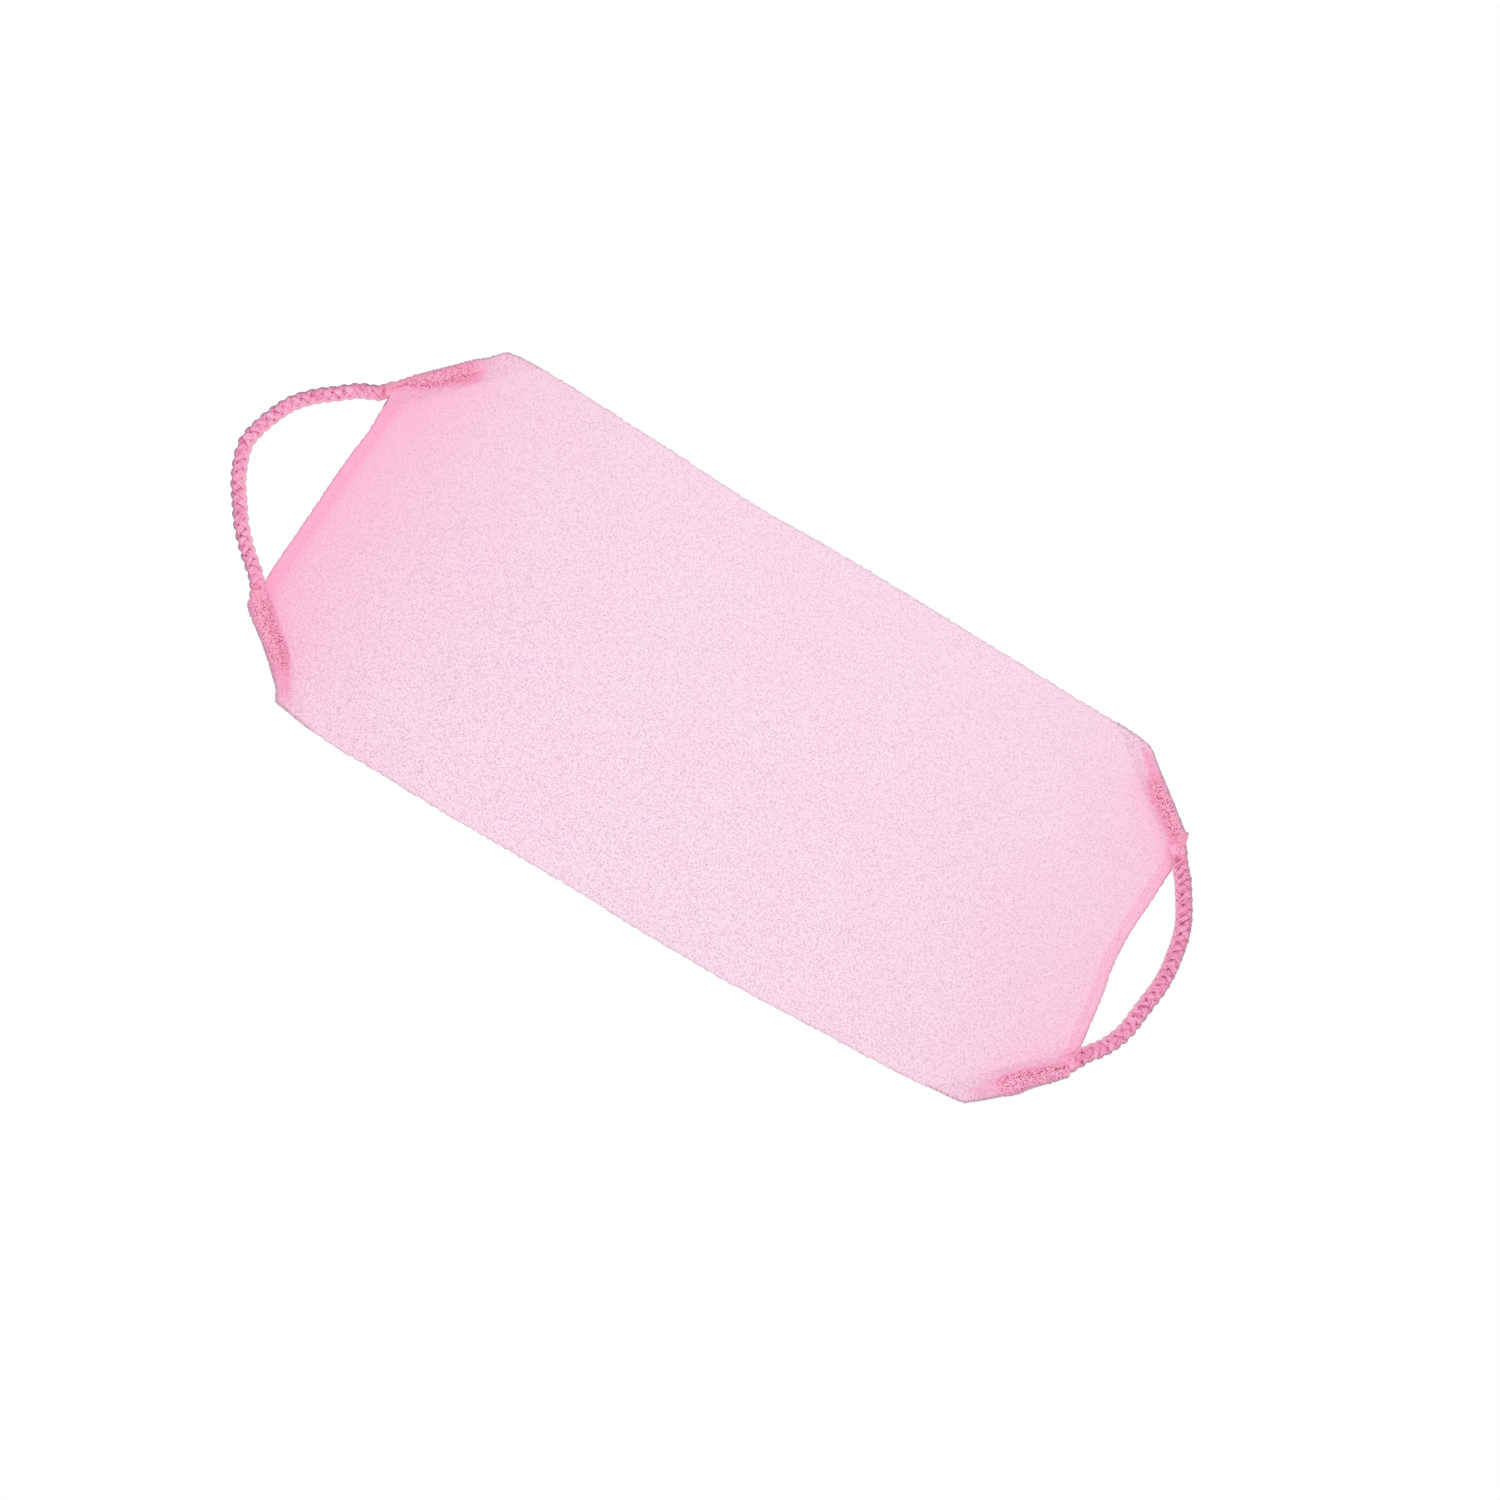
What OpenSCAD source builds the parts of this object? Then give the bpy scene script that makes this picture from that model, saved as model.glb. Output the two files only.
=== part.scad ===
// Back scrubber: a two-ply crepe cloth with hemmed ends, and a rope handle at each end.
// Each handle is one rope, whose two ends are sewn into sleeves folded from the cloth's corners.
// The cloth lies flat, its long edges along X. The origin is on its underside, at its middle.
// Far is +Y, near is -Y, left is -X and right is +X.

/* [Cloth outline] */
// Width of the cloth, between its two long edges at the corners
cloth_w = 189.6; // [184:0.2:196]
// Length of each long edge, from corner to corner
long_edge_len = 360; // [350:0.5:370]
// Distance from the sleeve mouths of one end to those of the other
mouth_span = 427; // [424:0.5:430]
// Distance between the two sleeve mouths of one end
mouth_gap = 112.6; // [110:0.2:115]
// How far the far long edge bows outward
far_edge_bow = 1.2; // [-3:0.1:6]
// How far the near long edge bows outward
near_edge_bow = 6.2; // [-3:0.1:8]
// How far the left end bows outward
left_end_bow = -0.5; // [-6:0.1:2]
// How far the right end bows outward
right_end_bow = -3.6; // [-6:0.1:2]

/* [Uneven corners] */
// Far left corner: how much further out than even it lies, along X
far_left_corner_dx = -5.7; // [-8:0.1:2]
// Far left corner: the same along Y
far_left_corner_dy = 4.5; // [-2:0.1:6]
// Far right corner: how much further out than even it lies, along X
far_right_corner_dx = -3.7; // [-8:0.1:2]
// Far right corner: the same along Y
far_right_corner_dy = -4; // [-6:0.1:2]
// Near right corner: how much further out than even it lies, along X
near_right_corner_dx = 4.3; // [-2:0.1:6]
// Near right corner: the same along Y
near_right_corner_dy = 0; // [-4:0.1:4]
// Near left corner: how much further out than even it lies, along X
near_left_corner_dx = 4.6; // [-2:0.1:6]
// Near left corner: the same along Y
near_left_corner_dy = -0.6; // [-4:0.1:4]

/* [Uneven mouths] */
// Far left mouth: how much further out than even it lies, along X
far_left_mouth_dx = -3; // [-4:0.1:-2]
// Far left mouth: the same along Y
far_left_mouth_dy = 0.5; // [-0.5:0.1:1.5]
// Far right mouth: how much further out than even it lies, along X
far_right_mouth_dx = -2.5; // [-3.5:0.1:-1.5]
// Far right mouth: the same along Y
far_right_mouth_dy = 0.7; // [-0.3:0.1:1.7]
// Near right mouth: how much further out than even it lies, along X
near_right_mouth_dx = 2.5; // [1.5:0.1:3.5]
// Near right mouth: the same along Y
near_right_mouth_dy = -0.7; // [-1.7:0.1:0.3]
// Near left mouth: how much further out than even it lies, along X
near_left_mouth_dx = 3.3; // [2.3:0.1:4.3]
// Near left mouth: the same along Y
near_left_mouth_dy = -0.5; // [-1.5:0.1:0.5]

/* [Fabric] */
// Thickness of one ply of crepe
ply_t = 1; // [0.6:0.1:1.6]
// Width of the folded hem at each end
hem_w = 4.6; // [3:0.1:8]
// Thickness of the folded hem
hem_t = 3; // [2.2:0.1:3.2]
// Wall of a corner sleeve
sleeve_wall = 1.15; // [0.6:0.05:2]
// Width of the sleeve's foot, from the middle of the rope to the seam with the plies
foot_w = 7; // [6.2:0.1:9]

/* [Rope] */
// Diameter of the braided rope
rope_d = 7.5; // [6:0.1:9]
// Length of rope held in each sleeve
rope_hold = 36; // [24:0.5:38]
// Clearance between the rope and its sleeve
rope_fit = 0.1; // [0.05:0.05:0.4]
// Clearance between the rope and the cloth beside it, where it leaves its sleeve
root_fit = 0.75; // [0.5:0.05:1.5]

/* [Sewing] */
// Distance from one stitch to the next
stitch_pitch = 3.4; // [2.6:0.1:5]
// Length of one stitch
stitch_len = 2.2; // [1:0.1:2.4]
// Thickness of the sewing thread
thread_d = 0.6; // [0.3:0.05:0.8]
// Distance of the hem stitches from the hem's inner edge
hem_stitch_inset = 1; // [0.6:0.1:2]
// Distance of the long side seams from the cloth's edge
seam_inset = 3; // [2:0.1:6]
// Thread legs that tack each rope end in its sleeve
tack_count = 3; // [1:1:4]
// Distance between the tack's legs
tack_pitch = 4; // [2:0.1:5]
// Distance of the first leg from the sleeve's mouth
tack_inset = 8; // [4:0.5:12]
// Clearance round a thread
thread_fit = 0.05; // [0.05:0.01:0.1]

/* [Hidden] */

body_pink = [0.972, 0.835, 0.905];
hem_pink = [0.965, 0.706, 0.812];
sleeve_pink = [0.918, 0.596, 0.714];
rope_pink = [0.906, 0.600, 0.718];
thread_pink = [0.960, 0.690, 0.790];

// Corners go round from far left, clockwise as seen from above.
FAR_LEFT = 0;
FAR_RIGHT = 1;
NEAR_RIGHT = 2;
NEAR_LEFT = 3;
corner_x = long_edge_len / 2;
corner_y = cloth_w / 2;
mouth_x = mouth_span / 2;
mouth_y = mouth_gap / 2;
corners = [
    [-corner_x - far_left_corner_dx, corner_y + far_left_corner_dy],
    [corner_x + far_right_corner_dx, corner_y + far_right_corner_dy],
    [corner_x + near_right_corner_dx, -corner_y - near_right_corner_dy],
    [-corner_x - near_left_corner_dx, -corner_y - near_left_corner_dy]
];
mouths = [
    [-mouth_x - far_left_mouth_dx, mouth_y + far_left_mouth_dy],
    [mouth_x + far_right_mouth_dx, mouth_y + far_right_mouth_dy],
    [mouth_x + near_right_mouth_dx, -mouth_y - near_right_mouth_dy],
    [-mouth_x - near_left_mouth_dx, -mouth_y - near_left_mouth_dy]
];
// The side of its sleeve's axis on which a corner lies, seen from the mouth: 1 is to the left
outer_side = [1, -1, 1, -1];

rope_r = rope_d / 2;
bore_r = rope_r + rope_fit;
sleeve_r = bore_r + sleeve_wall;
panel_t = 2 * ply_t;
// The rope's middle lies at the sleeve's radius in a sleeve, and at its own on the surface.
held_z = sleeve_r;
free_z = rope_r;
bore_depth = rope_hold + rope_fit;
tube_len = bore_depth + sleeve_wall;
thread_r = thread_d / 2;
channel_w = thread_d + 2 * thread_fit;
channel_h = thread_r + thread_fit;
// How far a sleeve's land reaches past the sleeve, enough to cross a corner of the cloth
beyond = 3 * foot_w;
edge_steps = 20;
end_steps = 8;
round_fn = 32;
cut = 1;

// A sleeve's axis runs from its mouth so that the corner lies at the sleeve's outer side.
function mouth_to_corner(c) = corners[c] - mouths[c];
function sleeve_reach(c) = sqrt(pow(norm(mouth_to_corner(c)), 2) - pow(sleeve_r, 2));
function sleeve_angle(c) =
    let (d = mouth_to_corner(c))
    atan2(d[1], d[0]) - outer_side[c] * atan2(sleeve_r, sleeve_reach(c));
function sleeve_dir(c) = [cos(sleeve_angle(c)), sin(sleeve_angle(c)), 0];

// Points from p to q that bow to the left of that way, most at the middle
function bowed(p, q, bow, steps, power) =
    let (d = (q - p) / norm(q - p), out = [-d[1], d[0]])
    [for (i = [0:steps])
        let (t = i / steps)
        p + (q - p) * t + out * bow * (1 - pow(abs(2 * t - 1), power))];

far_edge = bowed(corners[FAR_LEFT], corners[FAR_RIGHT], far_edge_bow, edge_steps, 4);
near_edge = bowed(corners[NEAR_RIGHT], corners[NEAR_LEFT], near_edge_bow, edge_steps, 3);
right_end = bowed(mouths[FAR_RIGHT], mouths[NEAR_RIGHT], right_end_bow, end_steps, 2);
left_end = bowed(mouths[NEAR_LEFT], mouths[FAR_LEFT], left_end_bow, end_steps, 2);

function shifted(points, by) = [for (p = points) p + by];
function reversed(points) = [for (i = [len(points) - 1:-1:0]) points[i]];
// The points without the first and last few
function trimmed(points, n) = [for (i = [n:len(points) - 1 - n]) points[i]];
// The strip between a line of points moved by one vector and by another
function strip(points, from, to) =
    concat(shifted(points, from), reversed(shifted(points, to)));

module outline() {
    polygon(concat(far_edge, right_end, near_edge, left_end));
}

// Puts its children in a sleeve's frame: X from the mouth along the rope, +Y into the cloth.
module at_sleeve(c) {
    translate(mouths[c])
        rotate([0, 0, sleeve_angle(c)])
            mirror([0, outer_side[c] > 0 ? 1 : 0, 0])
                children();
}

// What a sleeve and its foot take from the cloth's outline, and some more past both ends
module sleeve_land(c) {
    at_sleeve(c)
        translate([-beyond, -beyond])
            square([sleeve_reach(c) + 2 * beyond, beyond + foot_w]);
}

// The foot lies inside the sleeve's axis. Past the mouth it runs on beside the rope, up to the cloth's
// end, and past the tube it takes the whole corner.
module foot_shape(c) {
    reach = sleeve_reach(c);
    intersection() {
        outline();
        at_sleeve(c) {
            square([reach + beyond, foot_w]);
            translate([-beyond, rope_r + root_fit])
                square([beyond + cut, foot_w - rope_r - root_fit]);
            translate([tube_len, -beyond])
                square([reach + beyond - tube_len, beyond + foot_w]);
        }
    }
}

module hem_band(end, way) {
    polygon(strip(end, [-way * cut, 0], [way * hem_w, 0]));
}

module panel_shape() {
    difference() {
        outline();
        hem_band(left_end, 1);
        hem_band(right_end, -1);
        for (c = [0:3]) sleeve_land(c);
    }
}

// A side seam's thread line, or with a wider w its channel. inward is 1 or -1 along Y.
module seam_strip(edge, inward, w) {
    polygon(strip(trimmed(edge, 1), [0, inward * (seam_inset - w / 2)], [0, inward * (seam_inset + w / 2)]));
}

module seam_channels() {
    linear_extrude(2 * channel_h) {
        seam_strip(far_edge, -1, channel_w);
        seam_strip(near_edge, 1, channel_w);
    }
}

module panel(z) {
    difference() {
        translate([0, 0, z]) linear_extrude(ply_t) panel_shape();
        translate([0, 0, ply_t - channel_h]) seam_channels();
    }
}

module front_panel() {
    color(body_pink) panel(ply_t);
}

module back_panel() {
    color(body_pink) panel(0);
}

module seam_thread(edge, inward) {
    color(thread_pink)
        translate([0, 0, ply_t - thread_r])
            linear_extrude(thread_d)
                seam_strip(edge, inward, thread_d);
}

module side_seam_thread_far() {
    seam_thread(far_edge, -1);
}

module side_seam_thread_near() {
    seam_thread(near_edge, 1);
}

module end_hem(end, way) {
    color(hem_pink)
        linear_extrude(hem_t)
            difference() {
                intersection() {
                    outline();
                    hem_band(end, way);
                }
                for (c = [0:3]) sleeve_land(c);
            }
}

module end_hem_left() {
    end_hem(left_end, 1);
}

module end_hem_right() {
    end_hem(right_end, -1);
}

// One stitch lying on a fabric face: half a thread, flat side down, along X
module stitch(l) {
    difference() {
        rotate([0, 90, 0]) cylinder(r = thread_r, h = l, center = true, $fn = round_fn);
        translate([-l, -thread_d, -thread_d]) cube([2 * l, 2 * thread_d, thread_d]);
    }
}

// A row of stitches on a hem, clear of the sleeves at both of its ends
module hem_stitches(end, way) {
    from = end[0];
    to = end[len(end) - 1];
    run = to - from;
    clear = 2 * foot_w + stitch_len;
    count = floor((norm(run) - 2 * clear) / stitch_pitch);
    bow = end == left_end ? left_end_bow : right_end_bow;
    side = [-run[1], run[0]] / norm(run);
    color(thread_pink)
        for (i = [0:count]) {
            t = 0.5 + (i - count / 2) * stitch_pitch / norm(run);
            slope = -4 * bow * (2 * t - 1) / norm(run);
            at = from + run * t + side * bow * (1 - pow(2 * t - 1, 2));
            translate([at[0] + way * (hem_w - hem_stitch_inset), at[1], hem_t])
                rotate([0, 0, atan2(run[1], run[0]) + atan(slope)])
                    stitch(stitch_len);
        }
}

module hem_stitches_left() {
    hem_stitches(left_end, 1);
}

module hem_stitches_right() {
    hem_stitches(right_end, -1);
}

// The thread legs that pass through a sleeve and the rope in it, or with a wider r their holes
module tack_legs(r) {
    for (i = [0:tack_count - 1])
        translate([tack_inset + i * tack_pitch, 0, 0])
            cylinder(r = r, h = 2 * sleeve_r, $fn = round_fn);
}

// A corner of the cloth folded round the rope: a tube that flattens out past the rope's end,
// and a foot as thick as both plies, which the seam joins to them.
module sleeve(c) {
    tip_r = panel_t;
    reach = sleeve_reach(c);
    color(sleeve_pink)
        difference() {
            union() {
                at_sleeve(c) {
                    translate([0, 0, held_z])
                        rotate([0, 90, 0]) cylinder(r = sleeve_r, h = tube_len, $fn = round_fn);
                    hull() {
                        translate([tube_len - sleeve_wall, 0, held_z])
                            rotate([0, 90, 0]) cylinder(r = sleeve_r, h = sleeve_wall, $fn = round_fn);
                        translate([reach - tip_r, tip_r - sleeve_r, 0])
                            cylinder(r = tip_r, h = panel_t, $fn = round_fn);
                        translate([reach - tip_r, 0, 0])
                            cylinder(r = tip_r, h = panel_t, $fn = round_fn);
                    }
                }
                linear_extrude(panel_t) foot_shape(c);
            }
            at_sleeve(c) {
                translate([-cut, 0, held_z])
                    rotate([0, 90, 0]) cylinder(r = bore_r, h = bore_depth + cut, $fn = round_fn);
                tack_legs(thread_r + thread_fit);
            }
        }
}

// Whip stitches across the seam between a sleeve's foot and the front ply
module sleeve_stitches(c) {
    count = floor((rope_hold - 2 * stitch_len) / stitch_pitch);
    color(thread_pink)
        at_sleeve(c)
            for (i = [0:count])
                translate([stitch_len + (i + 0.5) * stitch_pitch, foot_w, panel_t])
                    rotate([0, 0, 90]) stitch(stitch_len);
}

module rope_tack(c) {
    color(thread_pink) at_sleeve(c) tack_legs(thread_r);
}

module rope_end(c) {
    color(rope_pink)
        at_sleeve(c)
            difference() {
                translate([0, 0, held_z])
                    rotate([0, 90, 0]) cylinder(r = rope_r, h = rope_hold, $fn = round_fn);
                tack_legs(thread_r + thread_fit);
            }
}

// The rope's middle line, from the far mouth round the loop to the near mouth
function held_point(c) = [mouths[c][0], mouths[c][1], held_z];
left_route = concat([held_point(FAR_LEFT)], [
    [-216, 53.5, 4.3], [-222, 50.5, free_z], [-231, 45, free_z], [-240, 38.5, free_z],
    [-247.5, 30.5, free_z], [-252.5, 21.5, free_z], [-256, 12, free_z], [-257, 3, free_z],
    [-255, -6, free_z], [-250.5, -15, free_z], [-245, -23.5, free_z], [-239, -32, free_z],
    [-232.5, -39.5, free_z], [-226, -45.5, free_z], [-221, -50.5, 4.3]
], [held_point(NEAR_LEFT)]);
right_route = concat([held_point(FAR_RIGHT)], [
    [214.5, 52.5, 4.3], [218, 47, free_z], [222, 41, free_z], [226, 34.5, free_z],
    [229.5, 27.5, free_z], [232, 20, free_z], [234.2, 12, free_z], [235.4, 4, free_z],
    [235.4, -4, free_z], [234.4, -12, free_z], [232.8, -20, free_z], [231.2, -28, free_z],
    [228.5, -35.5, free_z], [225, -42, free_z], [221.5, -47.5, free_z], [218.8, -51.5, 4.3]
], [held_point(NEAR_RIGHT)]);
// The rope bends in its roots: as many of the route's steps at each end belong to them.
left_root_steps = 3;
right_root_steps = 4;
rope_sides = 12;

function unit(v) = v / norm(v);
// A rope leaves and enters the sleeves along their axes.
function way_along(route, far_c, near_c, i) =
    i == 0 ? -sleeve_dir(far_c)
    : i == len(route) - 1 ? sleeve_dir(near_c)
    : unit(route[i + 1] - route[i - 1]);
function ring(centre, way) =
    let (side = unit(cross(way, [0, 0, 1])), up = cross(side, way))
    [for (k = [0:rope_sides - 1])
        centre + rope_r * (cos(360 * k / rope_sides) * side + sin(360 * k / rope_sides) * up)];

// The stretch of a rope from one point of its route to another
module rope(route, far_c, near_c, first, last) {
    n = rope_sides;
    rings = last - first;
    points = [for (i = [first:last]) each ring(route[i], way_along(route, far_c, near_c, i))];
    sides = [for (i = [0:rings - 1]) for (k = [0:n - 1])
        let (a = i * n + k, b = i * n + (k + 1) % n)
        each [[a, b, a + n], [b, b + n, a + n]]];
    start_cap = [for (k = [n - 1:-1:0]) k];
    end_cap = [for (k = [0:n - 1]) rings * n + k];
    color(rope_pink) polyhedron(points, concat([start_cap], sides, [end_cap]), convexity = 4);
}

module left_rope(first, last) {
    rope(left_route, FAR_LEFT, NEAR_LEFT, first, last);
}

module right_rope(first, last) {
    rope(right_route, FAR_RIGHT, NEAR_RIGHT, first, last);
}

left_last = len(left_route) - 1;
right_last = len(right_route) - 1;

front_panel();
back_panel();
side_seam_thread_far();
side_seam_thread_near();
end_hem_left();
end_hem_right();
hem_stitches_left();
hem_stitches_right();
sleeve(FAR_LEFT);  // sleeve_left_far
sleeve(FAR_RIGHT);  // sleeve_right_far
sleeve(NEAR_RIGHT);  // sleeve_right_near
sleeve(NEAR_LEFT);  // sleeve_left_near
sleeve_stitches(FAR_LEFT);  // sleeve_stitches_left_far
sleeve_stitches(FAR_RIGHT);  // sleeve_stitches_right_far
sleeve_stitches(NEAR_RIGHT);  // sleeve_stitches_right_near
sleeve_stitches(NEAR_LEFT);  // sleeve_stitches_left_near
rope_tack(FAR_LEFT);  // rope_tack_left_far
rope_tack(FAR_RIGHT);  // rope_tack_right_far
rope_tack(NEAR_RIGHT);  // rope_tack_right_near
rope_tack(NEAR_LEFT);  // rope_tack_left_near
rope_end(FAR_LEFT);  // rope_end_left_far
rope_end(FAR_RIGHT);  // rope_end_right_far
rope_end(NEAR_RIGHT);  // rope_end_right_near
rope_end(NEAR_LEFT);  // rope_end_left_near
left_rope(0, left_root_steps);  // rope_root_left_far
right_rope(0, right_root_steps);  // rope_root_right_far
right_rope(right_last - right_root_steps, right_last);  // rope_root_right_near
left_rope(left_last - left_root_steps, left_last);  // rope_root_left_near
left_rope(left_root_steps, left_last - left_root_steps);  // rope_loop_left
right_rope(right_root_steps, right_last - right_root_steps);  // rope_loop_right
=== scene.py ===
"""Looks of the back scrubber: crepe cloth, folded hems, corner sleeves and braided rope handles.

Lengths are in metres, in the frame of the CAD part: +X right, +Y far, +Z up, the cloth's underside at 0.
Millimetres are only in the tables that say so, and in the limits that rise, fall, bell and fading take.
On plan, a corner's own coordinates are s, from its sleeve's mouth along the held rope, and t, from the
rope's middle into the cloth.
"""
import math

import bpy
import numpy as np
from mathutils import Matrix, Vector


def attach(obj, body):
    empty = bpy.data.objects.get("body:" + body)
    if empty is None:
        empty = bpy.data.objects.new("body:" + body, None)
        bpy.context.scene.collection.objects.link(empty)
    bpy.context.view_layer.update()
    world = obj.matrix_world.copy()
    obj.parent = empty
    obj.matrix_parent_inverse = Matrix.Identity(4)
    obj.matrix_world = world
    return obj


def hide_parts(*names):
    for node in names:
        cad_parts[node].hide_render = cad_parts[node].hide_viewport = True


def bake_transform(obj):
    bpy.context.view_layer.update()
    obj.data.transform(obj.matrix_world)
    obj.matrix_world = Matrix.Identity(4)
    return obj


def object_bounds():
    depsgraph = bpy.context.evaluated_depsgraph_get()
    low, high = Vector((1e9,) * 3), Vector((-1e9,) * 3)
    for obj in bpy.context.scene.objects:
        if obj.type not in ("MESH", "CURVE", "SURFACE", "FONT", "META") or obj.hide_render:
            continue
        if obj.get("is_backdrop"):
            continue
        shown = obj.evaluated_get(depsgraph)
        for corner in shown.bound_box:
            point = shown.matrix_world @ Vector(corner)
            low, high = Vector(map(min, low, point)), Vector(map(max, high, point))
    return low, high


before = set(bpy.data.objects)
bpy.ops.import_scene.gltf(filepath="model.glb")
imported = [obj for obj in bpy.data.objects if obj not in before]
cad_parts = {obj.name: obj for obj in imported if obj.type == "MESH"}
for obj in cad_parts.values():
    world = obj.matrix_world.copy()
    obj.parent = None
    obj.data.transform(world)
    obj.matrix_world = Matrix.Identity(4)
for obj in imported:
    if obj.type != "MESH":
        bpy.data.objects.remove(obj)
cad_bounds = [list(corner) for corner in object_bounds()]

MM = 0.001

# Cloth
PLY_T = 1.0 * MM
PANEL_T = 2 * PLY_T
HEM_W = 4.6 * MM
HEM_T = 3.0 * MM
FOOT_W = 7.0 * MM
LOWEST = 0.02 * MM

# Rope
ROPE_D = 7.5 * MM
ROPE_HOLD = 36 * MM
HELD_Z = 5.0 * MM
FREE_Z = ROPE_D / 2

# Sewing
STITCH_PITCH = 3.4 * MM
STITCH_LEN = 2.2 * MM
HEM_STITCH_INSET = 1.0 * MM
HEM_THREAD_R = 0.20 * MM
SLEEVE_THREAD_R = 0.17 * MM
THREAD_AROUND = 8

CORNERS = ("left_far", "right_far", "right_near", "left_near")


# ---- camera

CAMERA_TURN = math.radians(30.03)
CAMERA_X, CAMERA_Y = 16.17 * MM, -3.47 * MM
VIEW_WIDTH = 0.693
LENS, SENSOR = 100, 36


def add_object(name, data):
    thing = bpy.data.objects.new(name, data)
    bpy.context.scene.collection.objects.link(thing)
    return thing


def make_camera():
    data = bpy.data.cameras.new("camera")
    data.lens, data.sensor_width = LENS, SENSOR
    camera = add_object("camera", data)
    camera.location = (CAMERA_X, CAMERA_Y, VIEW_WIDTH * LENS / SENSOR)
    camera.rotation_euler = (0, 0, CAMERA_TURN)
    bpy.context.scene.camera = camera


make_camera()


# ---- smooth steps

def ease(x, start, end):
    """0 before start, 1 after end, and smooth between them."""
    t = np.clip((np.asarray(x, float) - start) / (end - start), 0, 1)
    return t * t * (3 - 2 * t)


def rise(x, start, end):
    """The same for a length, with limits in millimetres."""
    return ease(np.asarray(x) / MM, start, end)


def fall(x, start, end):
    """1 before start and 0 after end, with limits in millimetres."""
    return 1 - rise(x, start, end)


def bell(x, middle, width):
    """1 at the middle and fading to both sides, both in millimetres."""
    return np.exp(-(((np.asarray(x, float) / MM - middle) / width) ** 2))


def fading(x, length):
    """1 up to 0, and then fading over a length in millimetres."""
    return np.exp(-np.maximum(x, 0) / (length * MM))


def screen(*tones):
    """Tones laid over each other."""
    kept = 1.0
    for tone in tones:
        kept = kept * (1 - tone)
    return 1 - kept


# ---- lines

def unit(vectors):
    return vectors / np.linalg.norm(vectors, axis=-1, keepdims=True)


def full_turn(count):
    """Angles all the way round."""
    return np.linspace(0, math.tau, count, endpoint=False)


def distances(line):
    """How far along a line each of its points is."""
    return np.concatenate([[0], np.cumsum(np.linalg.norm(np.diff(line, axis=0), axis=1))])


def resampled(line, count):
    """A line with as many points, evenly spaced."""
    along = distances(line)
    at = np.linspace(0, along[-1], count)
    return np.stack([np.interp(at, along, line[:, k]) for k in range(line.shape[1])], axis=1)


def spaced(line, step):
    """A line with its points about a step apart."""
    return resampled(line, max(2, round(distances(line)[-1] / step) + 1))


def smooth_line(points, step, parts=24):
    """A line through the points, rounded, with its own points a step apart."""
    points = np.array(points, float)
    padded = np.vstack([2 * points[0] - points[1], points, 2 * points[-1] - points[-2]])
    t = np.linspace(0, 1, parts, endpoint=False)[:, None]
    line = []
    for a, b, c, d in zip(padded, padded[1:], padded[2:], padded[3:]):
        square, cube = 2 * a - 5 * b + 4 * c - d, 3 * b - a - 3 * c + d
        line.append(0.5 * (2 * b + (c - a) * t + square * t**2 + cube * t**3))
    return spaced(np.vstack([*line, points[-1:]]), step)


def closed_loop(points, count):
    """A rounded loop through points in millimetres, with as many points of its own, evenly spaced."""
    points = np.array(points, float)
    line = smooth_line(np.vstack([points[-3:], points, points[:3]]), 0.02)
    gap = np.linalg.norm(line - points[0], axis=1)
    half = len(line) // 2
    start, end = np.argmin(gap[:half]), len(line) - half + np.argmin(gap[-half:])
    return resampled(line[start : end + 1], count + 1)[:count]


def through(points, at):
    """A smooth line of values through (place, value) points, for any places."""
    places, values = np.array(points, float).T
    slopes = np.gradient(values, places)
    at = np.clip(at, places[0], places[-1])
    i = np.clip(np.searchsorted(places, at) - 1, 0, len(places) - 2)
    step = places[i + 1] - places[i]
    t = (at - places[i]) / step
    return (
        values[i] * (1 + 2 * t) * (1 - t) ** 2
        + slopes[i] * step * t * (1 - t) ** 2
        + values[i + 1] * t * t * (3 - 2 * t)
        + slopes[i + 1] * step * t * t * (t - 1)
    )


def carried_frame(line):
    """The way along a line, and two directions across it without twist."""
    way = unit(np.gradient(line, axis=0))
    side = unit(np.cross(way, [0, 0, 1.0]))
    return way, side, np.cross(side, way)


def circles(line, radius, around):
    """Rings round a line."""
    _, side, up = carried_frame(line)
    angle = full_turn(around)[None, :, None]
    return line[:, None] + radius * (np.cos(angle) * side[:, None] + np.sin(angle) * up[:, None])


# ---- meshes and bumps


def make_piece(name, shape, material, replaces=(), body="cloth", **values):
    """A smooth piece of points and faces, with named values at its points, on its body, for its CAD nodes."""
    points, faces = shape
    mesh = bpy.data.meshes.new(name)
    mesh.from_pydata(np.asarray(points).reshape(-1, 3).tolist(), [], faces)
    mesh.polygons.foreach_set("use_smooth", np.full(len(mesh.polygons), True))
    for key, value in values.items():
        attribute = mesh.attributes.new(key, "FLOAT", "POINT")
        attribute.data.foreach_set("value", np.asarray(value, np.float32).ravel())
    mesh.materials.append(material)
    mesh.update()
    piece = add_object(name, mesh)
    if body:
        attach(piece, body)
    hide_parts(*replaces)
    return piece


def grid_quads(index):
    """The quads between the rows and columns of a grid of point numbers."""
    quads = [index[:-1, :-1], index[1:, :-1], index[1:, 1:], index[:-1, 1:]]
    return np.stack(quads, axis=-1).reshape(-1, 4).tolist()


def tube_faces(stations, around, first=0):
    """The faces of a closed tube of rings, with its two ends."""
    index = first + np.arange(stations * around).reshape(stations, around)
    sides = grid_quads(np.concatenate([index, index[:, :1]], axis=1))
    return sides + [index[0].tolist(), index[-1, ::-1].tolist()]


def turns_with_its_way(rings):
    """Whether a tube's middle ring turns right-handed about the way from ring to ring."""
    k = len(rings) // 2
    ring = rings[k] - rings[k].mean(0)
    turn = np.cross(ring, np.roll(ring, -1, axis=0)).sum(0)
    return turn @ (rings[k + 1].mean(0) - rings[k - 1].mean(0)) > 0


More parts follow.
